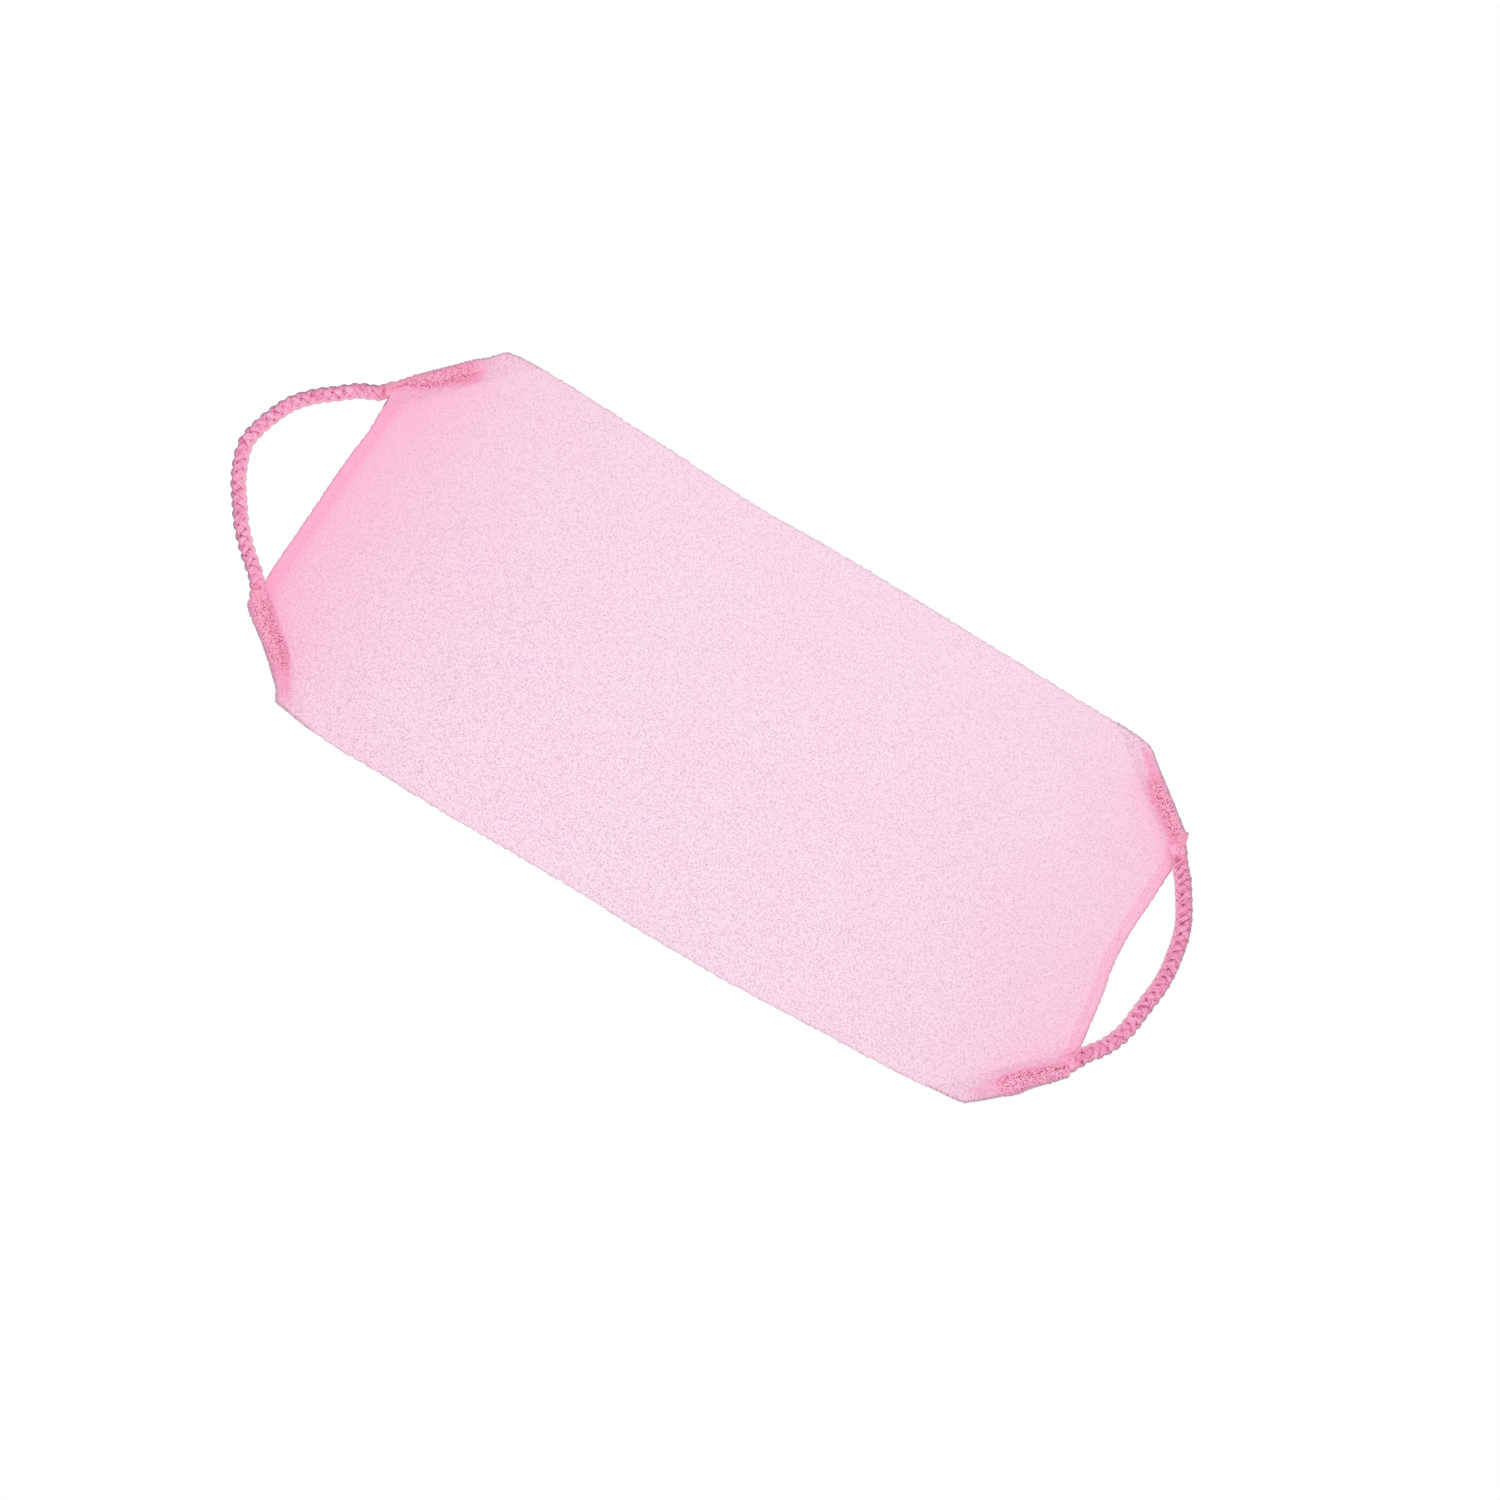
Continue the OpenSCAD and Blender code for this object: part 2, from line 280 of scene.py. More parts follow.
def tubes(rings_of):
    """Points and outward faces of several closed tubes, each an array of stations by points around by 3."""
    points, faces, first = [], [], 0
    for rings in rings_of:
        stations, around = rings.shape[:2]
        points.append(rings.reshape(-1, 3))
        sides = tube_faces(stations, around, first)
        faces += [face[::-1] for face in sides] if turns_with_its_way(rings) else sides
        first += stations * around
    return np.concatenate(points), faces


def stitches(name, node, runs, radius):
    """A row of short threads along runs of points, rounded at their ends."""
    rings = []
    for run in runs:
        share = np.linspace(-1, 1, len(run))
        rounded_off = np.sqrt(np.maximum(1 - 0.85 * share**6, 0))
        rings.append(circles(run, radius * rounded_off[:, None, None], THREAD_AROUND))
    return make_piece(name, tubes(rings), thread, [node])


class Bumps:
    """Seeded random bumps over a plane, with wavelengths between two lengths and a spread of 1."""

    PER_WAVE = 4
    WIDTH, HEIGHT = 0.52, 0.26

    def __init__(self, seed, shortest, longest):
        self.pitch = shortest / self.PER_WAVE
        self.shape = (int(self.HEIGHT / self.pitch), int(self.WIDTH / self.pitch))
        white = np.random.default_rng(seed).standard_normal(self.shape)
        up, right = (np.fft.fftfreq(count, self.pitch) for count in self.shape)
        waves = np.hypot(up[:, None], right[None, :])
        kept = (waves > 1 / longest) & (waves < 1 / shortest)
        field = np.fft.ifft2(np.fft.fft2(white) * kept).real
        self.field = field / field.std()

    def at(self, x, y):
        column, row = np.asarray(x) / self.pitch, np.asarray(y) / self.pitch
        c, r = np.floor(column).astype(int), np.floor(row).astype(int)
        fc, fr = column - c, row - r
        rows, columns = self.shape
        corner = lambda dr, dc: self.field[(r + dr) % rows, (c + dc) % columns]
        low = corner(0, 0) * (1 - fc) + corner(0, 1) * fc
        high = corner(1, 0) * (1 - fc) + corner(1, 1) * fc
        return low * (1 - fr) + high * fr


CREPE_WAVES = (2.3 * MM, 4.8 * MM)
crepe_bumps = Bumps(1, *CREPE_WAVES)
back_bumps = Bumps(11, *CREPE_WAVES)
swell_bumps = Bumps(2, 30 * MM, 90 * MM)
edge_bumps = Bumps(3, 2.4 * MM, 7 * MM)
gather_bumps = Bumps(5, 1.5 * MM, 3.4 * MM)
pucker_bumps = Bumps(6, 0.9 * MM, 2.2 * MM)


# ---- materials

# Colours are as on a screen, 0 to 255. From one layer of crepe to many, pressed together
TONES = [
    (0.0, (248, 216, 233)), (0.2, (249, 204, 225)), (0.4, (250, 190, 216)),
    (0.6, (254, 179, 209)), (0.8, (252, 169, 200)), (1.0, (246, 153, 186)),
]
# Painted shade for the crepe's pits and painted highlight for its ridges, by the same tones
PIT_SHADE = [(0.0, (202, 164, 184)), (0.3, (205, 150, 176)), (0.55, (222, 128, 164)), (1.0, (176, 82, 122))]
RIDGE_HIGHLIGHT = [(0.0, (255, 236, 247)), (0.35, (255, 222, 238)), (0.6, (255, 200, 222)), (1.0, (255, 186, 212))]
# Painted shade for the rims of the cloth, hems, sleeves and collars
CREPE_RIM_SHADE = (184, 146, 167)
# The rope's colours, from painted shade where strands dive under each other to painted highlight on their
# crowns
ROPE_SHADED_TONES = [(0.0, (176, 84, 122)), (0.35, (224, 130, 167)), (0.7, (250, 166, 199)), (1.0, (255, 186, 214))]
# Painted shade where the rope goes into a mouth and on its outer contour, and painted light on its inner side
ROPE_MOUTH_SHADE, ROPE_CONTOUR_SHADE, ROPE_INNER_LIGHT = (236, 118, 158), (166, 124, 147), (250, 196, 216)
THREAD_DARK, THREAD_LIGHT = (240, 168, 198), (250, 190, 214)

CREPE_GRAIN, GATHERED_GRAIN = 0.78 * MM, 0.80 * MM
CREPE_CONTRAST, GATHERED_CONTRAST = 0.53, 1.1
CLOUDS = 45 * MM
NOISE_TURN = (0.62, 0.47, 0.3)


def linear(red, green, blue):
    """A colour as the renderer takes it."""
    return [((c / 255 + 0.055) / 1.055) ** 2.4 for c in (red, green, blue)] + [1]


def add_node(tree, kind, inputs=(), **settings):
    """A node of a tree, each of its inputs joined to a socket or set to a value."""
    node = tree.nodes.new(kind)
    for key, value in settings.items():
        setattr(node, key, value)
    for key, value in dict(inputs).items():
        if isinstance(value, bpy.types.NodeSocket):
            tree.links.new(value, node.inputs[key])
        else:
            node.inputs[key].default_value = value
    return node


class Shader:
    """A material whose nodes are added and joined in one call each."""

    def __init__(self, name, roughness, sheen, specular):
        self.material = bpy.data.materials.new(name)
        self.material.use_nodes = True
        self.surface = self.material.node_tree.nodes["Principled BSDF"]
        looks = {"Roughness": roughness, "Specular IOR Level": specular, "Sheen Weight": sheen}
        for key, value in {**looks, "Sheen Roughness": 0.5}.items():
            self.surface.inputs[key].default_value = value

    def add(self, kind, inputs=(), **settings):
        return add_node(self.material.node_tree, kind, inputs, **settings)

    def value(self, name):
        """The named value at a mesh's points."""
        return self.add("ShaderNodeAttribute", attribute_name=name).outputs["Fac"]

    def place(self):
        return self.add("ShaderNodeTexCoord").outputs["Object"]

    def noise(self, where, size, detail, roughness=0.5):
        """Noise whose features are about size across."""
        inputs = {"Vector": where, "Scale": 1 / size, "Detail": detail, "Roughness": roughness}
        return self.add("ShaderNodeTexNoise", inputs).outputs["Fac"]

    def plus(self, a, b):
        return self.add("ShaderNodeMath", {0: a, 1: b}, operation="ADD").outputs[0]

    def times(self, a, b):
        return self.add("ShaderNodeMath", {0: a, 1: b}, operation="MULTIPLY").outputs[0]

    def between(self, value, low, high, to_low=0.0, to_high=1.0):
        inputs = {"Value": value, "From Min": low, "From Max": high, "To Min": to_low, "To Max": to_high}
        return self.add("ShaderNodeMapRange", inputs).outputs["Result"]

    def ramp(self, value, stops):
        node = self.add("ShaderNodeValToRGB", {"Fac": value})
        elements = node.color_ramp.elements
        while len(elements) < len(stops):
            elements.new(0.5)
        for element, (place, colour) in zip(elements, stops):
            element.position, element.color = place, linear(*colour)
        return node.outputs["Color"]

    def mix(self, factor, a, b):
        """From a to b, each a socket or a colour."""
        a, b = (linear(*c) if isinstance(c, tuple) else c for c in (a, b))
        return self.add("ShaderNodeMix", {0: factor, 6: a, 7: b}, data_type="RGBA").outputs[2]

    def finish(self, colour, height, distance, strength):
        """The material, with its colour and its bump."""
        inputs = {"Height": height, "Distance": distance, "Strength": strength}
        normal = self.add("ShaderNodeBump", inputs).outputs["Normal"]
        self.material.node_tree.links.new(colour, self.surface.inputs["Base Color"])
        self.material.node_tree.links.new(normal, self.surface.inputs["Normal"])
        return self.material


def crepe_material(name, grain, contrast):
    """Crepe: fine curly ridges, with painted highlight on their tops and painted shade in the pits, deeper
    where layers meet.
    """
    shader = Shader(name, roughness=0.9, sheen=0.05, specular=0.1)
    # Turned, so that no layer of the noise lies flat in the cloth
    where = shader.add("ShaderNodeMapping", {"Vector": shader.place(), "Rotation": NOISE_TURN}).outputs[0]
    crisp = shader.times(shader.value("crisp"), contrast)
    ridges = shader.noise(where, grain, detail=0.6)
    uneven = shader.between(shader.noise(where, 3 * grain, detail=1.0), 0.3, 0.7, -0.03, 0.03)
    clouds = shader.between(shader.noise(where, CLOUDS, detail=2.0), 0.3, 0.7, -0.02, 0.02)
    height = shader.plus(shader.between(ridges, 0.28, 0.72), uneven)
    tone = shader.plus(shader.value("tone"), clouds)
    # Painted shade and highlight: the tone goes deeper in the low spots, the pits towards the shaded colours
    # and the tops towards the highlight colours
    swing = shader.times(shader.between(height, 0.0, 1.0, 0.05, -0.05), crisp)
    colour = shader.ramp(shader.plus(tone, swing), TONES)
    pits = shader.times(shader.between(height, 0.44, -0.02), crisp)
    colour = shader.mix(pits, colour, shader.ramp(tone, PIT_SHADE))
    tops = shader.times(shader.between(height, 0.50, 0.96), crisp)
    colour = shader.mix(tops, colour, shader.ramp(tone, RIDGE_HIGHLIGHT))
    # Painted shade at the rims, weaker where the ridges are high
    rim = shader.times(shader.value("rim"), shader.between(ridges, 0.42, 0.56, 1.0, 0.5))
    return shader.finish(shader.mix(rim, colour, CREPE_RIM_SHADE), height, 0.5 * MM, 0.3 * contrast)


def rope_material():
    """Soft yarns along each strand, with painted shade where strands dive and at the mouths, a painted shaded
    outer contour, and painted highlight on crowns and the inner side.
    """
    shader = Shader("rope_yarn", roughness=0.75, sheen=0.25, specular=0.25)
    on_yarn = {0: shader.value("around"), 1: shader.value("along"), 2: 0.0}
    fibres = shader.noise(shader.add("ShaderNodeCombineXYZ", on_yarn).outputs[0], 0.8, 2.0, roughness=0.6)
    tufts = shader.noise(shader.place(), 1.6 * MM, detail=1.0)
    tone = shader.plus(shader.value("raised"), shader.between(fibres, 0.3, 0.7, -0.42, 0.32))
    tone = shader.plus(tone, shader.between(tufts, 0.3, 0.7, -0.16, 0.12))
    # Painted shade, deep pink, where the rope goes into the sleeves
    colour = shader.mix(shader.value("flush"), shader.ramp(tone, ROPE_SHADED_TONES), ROPE_MOUTH_SHADE)
    # Painted shade on the outer contour
    colour = shader.mix(shader.value("edge"), colour, ROPE_CONTOUR_SHADE)
    # Painted light on the inner side
    colour = shader.mix(shader.value("soft"), colour, ROPE_INNER_LIGHT)
    return shader.finish(colour, fibres, 0.3 * MM, 0.7)


def thread_material():
    """Thin twisted thread, a little lighter than the hems."""
    shader = Shader("sewing_thread", roughness=0.6, sheen=0.2, specular=0.3)
    twist = shader.noise(shader.place(), 0.4 * MM, detail=1.0)
    return shader.finish(shader.mix(twist, THREAD_DARK, THREAD_LIGHT), twist, 0.08 * MM, 0.6)


crepe = crepe_material("crepe_cloth", CREPE_GRAIN, CREPE_CONTRAST)
hem_crepe = crepe_material("crepe_hem", CREPE_GRAIN, CREPE_CONTRAST)
sleeve_crepe = crepe_material("crepe_gathered", GATHERED_GRAIN, GATHERED_CONTRAST)
rope_yarn = rope_material()
thread = thread_material()


# ---- what the CAD says

SAME_HEIGHT = 0.01 * MM
PANEL_END = 8 * MM
EDGE_STEP = 2 * MM


def node_points(node):
    """All points of a CAD node."""
    return np.array([v.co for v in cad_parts[node].data.vertices])


def plan_points(node, z):
    """The points of a CAD node at one height, on plan, without repeats."""
    points = node_points(node)
    level = points[np.abs(points[:, 2] - z) < SAME_HEIGHT, :2]
    return np.unique(np.round(level, 6), axis=0)


def by(points, axis):
    """Points in their order along an axis."""
    return points[np.argsort(points[:, axis])]


class Corner:
    """A corner of the cloth, its sleeve's mouth and the way the rope goes into it, on plan."""

    def __init__(self, name):
        self.name, self.side = name, name.split("_")[0]
        rope = node_points("rope_end_" + name)[:, :2]
        middle = (rope.min(0) + rope.max(0)) / 2
        self.way = np.linalg.svd(rope - rope.mean(0), full_matrices=False)[2][0]
        self.way *= -np.sign(self.way[0] * middle[0])
        side = np.array([-self.way[1], self.way[0]])
        self.inner = -side * np.sign(side @ middle)
        self.mouth = middle + self.way * ((rope - middle) @ self.way).min()
        foot = plan_points("sleeve_" + name, 0)
        self.tip = foot[np.argmax(foot @ (-self.inner + [0, np.sign(middle[1])]))]
        # Where this corner takes its random bumps from
        offset = 10 * MM * CORNERS.index(name)
        self.bumps_at = (7 * offset, offset)

    def local(self, x, y):
        dx, dy = x - self.mouth[0], y - self.mouth[1]
        return dx * self.way[0] + dy * self.way[1], dx * self.inner[0] + dy * self.inner[1]

    def plan(self, s, t):
        s, t = np.asarray(s)[..., None], np.asarray(t)[..., None]
        return self.mouth + s * self.way + t * self.inner


corners = {name: Corner(name) for name in CORNERS}
panel_outline = plan_points("front_panel", PANEL_T)


def panel_sides():
    """The panel's left, right, near and far sides on plan, with the points that they share."""
    x = panel_outline[:, 0]
    left = by(panel_outline[x < x.min() + PANEL_END], 1)
    right = by(panel_outline[x > x.max() - PANEL_END], 1)
    middle = panel_outline[(x >= x.min() + PANEL_END) & (x <= x.max() - PANEL_END)]
    near = by(np.vstack([left[:1], middle[middle[:, 1] < 0], right[:1]]), 0)
    far = by(np.vstack([left[-1:], middle[middle[:, 1] > 0], right[-1:]]), 0)
    return left, right, near, far


left_side, right_side, near_side, far_side = panel_sides()


def long_edge(side, left_corner, right_corner):
    """The cloth's whole long edge: the panel's, on to the corners at both ends."""
    return np.vstack([corners[left_corner].tip, side[2:-2], corners[right_corner].tip])


def end_edge(node, near_corner, far_corner):
    """The cloth's whole end, from mouth to mouth, with the near end first."""
    outline = plan_points(node, HEM_T)
    outward = np.sign(outline[:, 0].mean())
    line = np.array([corners[near_corner].mouth, corners[far_corner].mouth])
    chord = np.interp(outline[:, 1], line[:, 1], line[:, 0])
    outer = outline[(outline[:, 0] - chord) * outward > -0.85 * HEM_W]
    return by(np.vstack([line, outer]), 1)


far_edge = long_edge(far_side, "left_far", "right_far")
near_edge = long_edge(near_side, "left_near", "right_near")
left_end = end_edge("end_hem_left", "left_near", "left_far")
right_end = end_edge("end_hem_right", "right_near", "right_far")


# ---- how the edges wander

# The near edge's slow waves: how far out, where along x and how wide, in millimetres
NEAR_WAVES = [
    (0.85, -45, 60), (-1.1, -168, 10), (-1.2, -149, 12), (0.7, 105, 28), (-0.8, 176, 8), (-0.35, 57, 9),
]
# How far out the cloth's ends are beyond their plain bows, along y, in millimetres
LEFT_WAVE = [
    (-60, 0.4), (-34, 0.8), (-20, 0.6), (0, 0.3), (15, 0.2), (26, -0.5), (36, -1.4), (44, -1.2), (60, -0.6),
]
RIGHT_WAVE = [(-60, 2.2), (-34, 2.8), (-20, 2.6), (-6, 1.0), (6, 0.8), (14, 1.1), (26, 1.9), (60, 2.1)]
# How far the waves are felt inside the cloth, in millimetres
WAVE_FADE, SCALLOP_FADE = 25, 1.5
SCALLOP = 0.20 * MM
SWELL = 0.22 * MM
# Which lines of the edges' bumps are for what
RIM_LINE, FAR_LINE, HEM_LINE, NEAR_LINE = 0, 10 * MM, 40 * MM, 90 * MM


def far_wave(x):
    """The far edge's own slow waves, beyond its plain bow."""
    left = 1.6 * bell(x, -150, 38) * rise(x, -177, -164) - 1.5 * bell(x, -38, 32)
    return (left + 0.85 * bell(x, 163, 16) * fall(x, 168, 177)) * MM


def near_wave(x):
    """The same for the near edge."""
    waves = sum(much * bell(x, middle, width) for much, middle, width in NEAR_WAVES)
    return (waves - 0.8 * rise(x, -20, 12) * fall(x, 160, 174)) * MM


def from_ends(x, y):
    """How far points are inside the cloth's left and its right end."""
    left = x - np.interp(y, left_end[:, 1], left_end[:, 0])
    return left, np.interp(y, right_end[:, 1], right_end[:, 0]) - x


def from_edges(x, y):
    """How far points are inside the near and the far edge."""
    near = y - np.interp(x, near_edge[:, 0], near_edge[:, 1])
    return near, np.interp(x, far_edge[:, 0], far_edge[:, 1]) - y


def end_wave(x, y):
    """How far along x the ends wander, with what is beside them but not what is beyond the ropes."""
    from_left, from_right = from_ends(x, y)
    left = through(np.array(LEFT_WAVE) * MM, y) * fading(from_left, WAVE_FADE)
    right = through(np.array(RIGHT_WAVE) * MM, y) * fading(from_right, WAVE_FADE)
    kept = 1.0
    for corner in corners.values():
        kept = kept * rise(corner.local(x, y)[1], 0, 5)
    return (right - left) * kept


def scallop(x, y):
    """How far along y the long edges wander: in slow waves, and in small scallops from the seam."""
    near, far = from_edges(x, y)
    slow = far_wave(x) * fading(far, WAVE_FADE) + near_wave(x) * fading(near, WAVE_FADE)
    small = edge_bumps.at(x, FAR_LINE) * fading(far, SCALLOP_FADE)
    return slow + SCALLOP * (small - edge_bumps.at(x, NEAR_LINE) * fading(near, SCALLOP_FADE))


def lift(x, y):
    """The cloth doesn't lie quite flat."""
    return SWELL * (1 + np.tanh(0.8 * swell_bumps.at(x, y)))


shown_far_edge, shown_near_edge = spaced(far_edge, EDGE_STEP), spaced(near_edge, EDGE_STEP)
shown_far_edge[:, 1] += far_wave(shown_far_edge[:, 0])
shown_near_edge[:, 1] += near_wave(shown_near_edge[:, 0])


# ---- how deep the pink is

GLOWS = {"left_far": 0.08, "right_far": 0.29, "right_near": 0.11, "left_near": 0.09}
# x, y, how long, how wide, in millimetres, and how deep
SLUBS = [(-144.2, 79.3, 1.4, 0.8, 0.5), (59.8, 79.0, 0.8, 0.8, 0.25)]


def end_tone(x, y):
    """The cloth is deeper towards its ends, more so at the left, and most along the hems."""
    from_left, from_right = from_ends(x, y)
    left, right = 0.50 * fading(from_left, 50), 0.27 * fading(from_right, 55)
    return screen(left, right, 0.27 * fall(from_left, 4.5, 11), 0.26 * fall(from_right, 4.0, 6.5))


def sleeve_glow(x, y):
    """The cloth is deeper beside the sleeves."""
    tone = 0
    for name, corner in corners.items():
        s, t = corner.local(x, y)
        tone = screen(tone, GLOWS[name] * fading(t - 5 * MM, 3.6) * rise(s, -14, 0) * fall(s, 30, 46))
    return tone


def crispness(x, y):
    """The crepe is smoother towards the ends, the far edge and the sleeves."""
    from_left, from_right = from_ends(x, y)
    left, right = (0.78 + 2.2 * y) * fading(from_left, 38), 0.38 * fading(from_right, 80)
    return (1.02 - left - right) * (1 - 1.9 * y) - 2.4 * sleeve_glow(x, y)


def slubs(x, y):
    """Two small slubs in the crepe near the far edge."""
    return sum(deep * bell(x, u, long) * bell(y, v, wide) for u, v, long, wide, deep in SLUBS)


# ---- panels

CREPE_HEIGHT = 0.03 * MM
COLUMN = 0.9 * MM
ROW = 1.15 * MM
# How far in the first rows of points are, in millimetres
RIM = [0, 0.12, 0.35, 0.7, 1.15, 1.7, 2.4]
RIM_ROUND = 1.7 * MM
# How many of a face's columns and rows there are to one of the coarse inner face
COARSE = 4
SEAM_DIP = 0.10 * MM
# From the middle of the cloth: how far past it a ply's inner face is, and how far from it the ply's rim
INNER_Z, RIM_Z = 0.02 * MM, 0.04 * MM


def along_side(side, axis, at):
    """Points of a side at shares of its way along an axis."""
    place = side[0, axis] + at * (side[-1, axis] - side[0, axis])
    other = np.interp(place, side[:, axis], side[:, 1 - axis])
    return np.stack([place, other] if axis == 0 else [other, place], axis=-1)


def panel_plan(u, v):
    """The panel's grid on plan: the area between its four sides, columns along u and rows along v."""
    left, right = along_side(left_side, 1, v)[None], along_side(right_side, 1, v)[None]
    near, far = along_side(near_side, 0, u)[:, None], along_side(far_side, 0, u)[:, None]
    u, v = u[:, None, None], v[None, :, None]
    shared = (1 - u) * ((1 - v) * near[0] + v * far[0]) + u * ((1 - v) * near[-1] + v * far[-1])
    return (1 - u) * left + u * right + (1 - v) * near + v * far - shared


def panel_shares(length, step, rim):
    """Shares along one way of the panel, closer together at its rims, in a number that COARSE divides."""
    rim = np.array(rim) * MM
    count = round((length - 2 * rim[-1]) / step)
    count += -(count + 2 * (len(rim) - 1)) % COARSE
    middle = np.linspace(rim[-1], length - rim[-1], count + 1)[1:-1]
    return np.concatenate([rim, middle, length - rim[::-1]]) / length


panel_length, panel_width = panel_outline.max(0) - panel_outline.min(0)
panel_grid = panel_plan(panel_shares(panel_length, COLUMN, [0]), panel_shares(panel_width, ROW, RIM))


def rounded(distance):
    """The height of a rounded edge, 0 at the rim and 1 inside."""
    inside = 1 - np.clip(distance / RIM_ROUND, 0, 1)
    return np.sqrt(np.maximum(1 - inside**2, 0))


def round_block(i, j, i_end, j_end):
    """The places round a block of a grid, from its first one and back to it."""
    out = [(a, j) for a in range(i, i_end)] + [(i_end, b) for b in range(j, j_end)]
    return out + [(a, j_end) for a in range(i_end, i, -1)] + [(i, b) for b in range(j_end, j, -1)]


def slab(face, inner):
    """A face and a coarse inner face that has all the face's own points only along its border."""
    n, m = face.shape[0] - 1, face.shape[1] - 1
    on_face = np.arange((n + 1) * (m + 1)).reshape(n + 1, m + 1)
    keep = np.zeros(on_face.shape, bool)
    keep[::COARSE, ::COARSE] = True
    keep[[0, -1], :] = keep[:, [0, -1]] = True
    on_inner = np.full(on_face.shape, -1)
    on_inner[keep] = on_face.size + np.arange(keep.sum())
    faces = grid_quads(on_face)
    border = round_block(0, 0, n, m)
    for a, b in zip(border, border[1:] + border[:1]):
        faces.append([int(on_face[b]), int(on_inner[b]), int(on_inner[a]), int(on_face[a])])
    for i in range(0, n, COARSE):
        for j in range(0, m, COARSE):
            block = round_block(i, j, i + COARSE, j + COARSE)
            faces.append([int(on_inner[place]) for place in block if keep[place]][::-1])
    return np.concatenate([face.reshape(-1, 3), inner[keep]]), faces


def panel_piece(name, node, up, bumps):
    """One ply: its outer face with the crepe, a wall round it, and a coarse inner face."""
    x, y = panel_grid[..., 0], panel_grid[..., 1]
    inside = np.minimum(*from_edges(x, y))
    rim = rounded(inside)
    relief = CREPE_HEIGHT * bumps.at(x, y) * (0.35 + 0.65 * rim)
    seam = sum(bell(corner.local(x, y)[1] - FOOT_W, 0, 1.3) for corner in corners.values())
    middle = PLY_T + lift(x, y)
    outer = middle + up * (RIM_Z + 0.96 * PLY_T * rim + relief - SEAM_DIP * np.clip(seam, 0, 1))
    shown = (x + end_wave(x, y), y + scallop(x, y))
    face = np.stack([*shown, np.maximum(outer, LOWEST)], axis=-1)
    points, quads = slab(face, np.stack([*shown, middle - INNER_Z * up], axis=-1))
    if up < 0:
        quads = [quad[::-1] for quad in quads]
    tone = screen(end_tone(x, y), sleeve_glow(x, y), slubs(x, y) * (up > 0))
    # Painted shade along the long edges' rims, broken by noise
    shade = (0.34 + 0.22 * np.tanh(edge_bumps.at(x, RIM_LINE))) * bell(inside, 0, 0.6)
    rest = np.ones(len(points) - tone.size)
    values = {
        "tone": np.append(tone, rest * tone.mean()),
        "rim": np.append(shade, rest * 0),
        "crisp": np.append(crispness(x, y), rest),
    }
    return make_piece(name, (points, quads), crepe, [node], **values)


# ---- the folds of the corners

# For each corner, in millimetres but for tone, cut and speckle. rows: s, and the t of the outer edge, the
# rope's middle, the crease along the fold and the inner end of the deep pink. end: how far the coarse deep
# pink goes along s. fade: how far the smooth pink after it goes, and tone: how deep that is. cut: the cut
# of the mouth outside the rope. speckle: how strong it is, and smooth: how far from the mouth it starts.
# rim: how wide the shaded rim is
FOLDS = {
    "left_far": {
        "end": 42, "fade": 47, "tone": 0.50, "cut": 0.35, "speckle": 0.65, "smooth": 4.5, "rim": 0.9,
        "rows": [
            (0, -3.6, 0.3, -1.6, 1.2), (3, -3.3, 0.2, -1.2, 1.2), (8, -3.7, 0.0, -0.6, 1.4),
            (16, -4.0, 0.0, 2.0, 3.0), (30, -4.0, 0.0, 2.8, 4.3), (42, -4.0, 0.0, 3.4, 4.9),
            (48, -3.5, 0.0, 3.4, 0.8), (54, -4.1, 0.0, 3.5, -1.0),
        ],
    },
    "right_far": {
        "end": 35, "fade": 48, "tone": 0.71, "cut": 0.75, "speckle": 1.0, "smooth": 6.0, "rim": 1.1,
        "rows": [
            (0, -4.0, 1.9, 1.9, 5.4), (1.6, -5.4, 1.7, 1.7, 5.2), (3.4, -4.8, 1.4, 1.4, 4.8),
            (6, -4.4, 0.9, 1.1, 4.6), (10, -4.4, 0.2, 1.1, 4.6), (22, -4.3, 0.0, 1.0, 4.9),
            (30, -4.1, 0.0, 1.0, 5.0), (39, -4.1, 0.0, 1.0, 1.6), (46, -4.5, 0.0, 1.0, 0.0),
        ],
    },
    "right_near": {
        "end": 34, "fade": 46, "tone": 0.46, "cut": 0.25, "speckle": 1.1, "smooth": 1.6, "rim": 1.4,
        "rows": [
            (0, -5.6, 0.5, -0.9, 3.6), (5, -5.8, 0.3, -0.6, 3.0), (10, -5.9, 0.0, 0.0, 3.4),
            (18, -5.9, -0.4, 0.8, 3.8), (28, -6.9, -0.8, 1.6, 3.8), (35, -5.8, -0.8, 0.5, 2.8),
            (41, -5.6, -0.6, 0.5, 1.6), (50, -4.8, -0.5, 0.5, 0.5),
        ],
    },
    "left_near": {
        "end": 38, "fade": 49, "tone": 0.70, "cut": 0.40, "speckle": 0.80, "smooth": 1.2, "rim": 1.6,
        "rows": [
            (0, -4.0, 1.2, 2.0, 7.2), (1.6, -4.8, 1.2, 2.4, 7.0), (3.4, -4.95, 1.2, 3.0, 6.8),
            (10, -4.7, 1.2, 3.6, 6.9), (18, -3.6, 1.4, 4.2, 7.0), (28, -2.8, 2.0, 5.8, 8.0),
            (38, -2.6, 1.6, 3.2, 5.2), (43, -2.7, 1.2, 2.6, 3.8), (50, -5.0, 0.8, 2.0, 3.0),
        ],
    },
}
# The farthest that a sleeve may go along s, and out in t
FOLD_REACH, FOLD_OUT = 90 * MM, -9 * MM


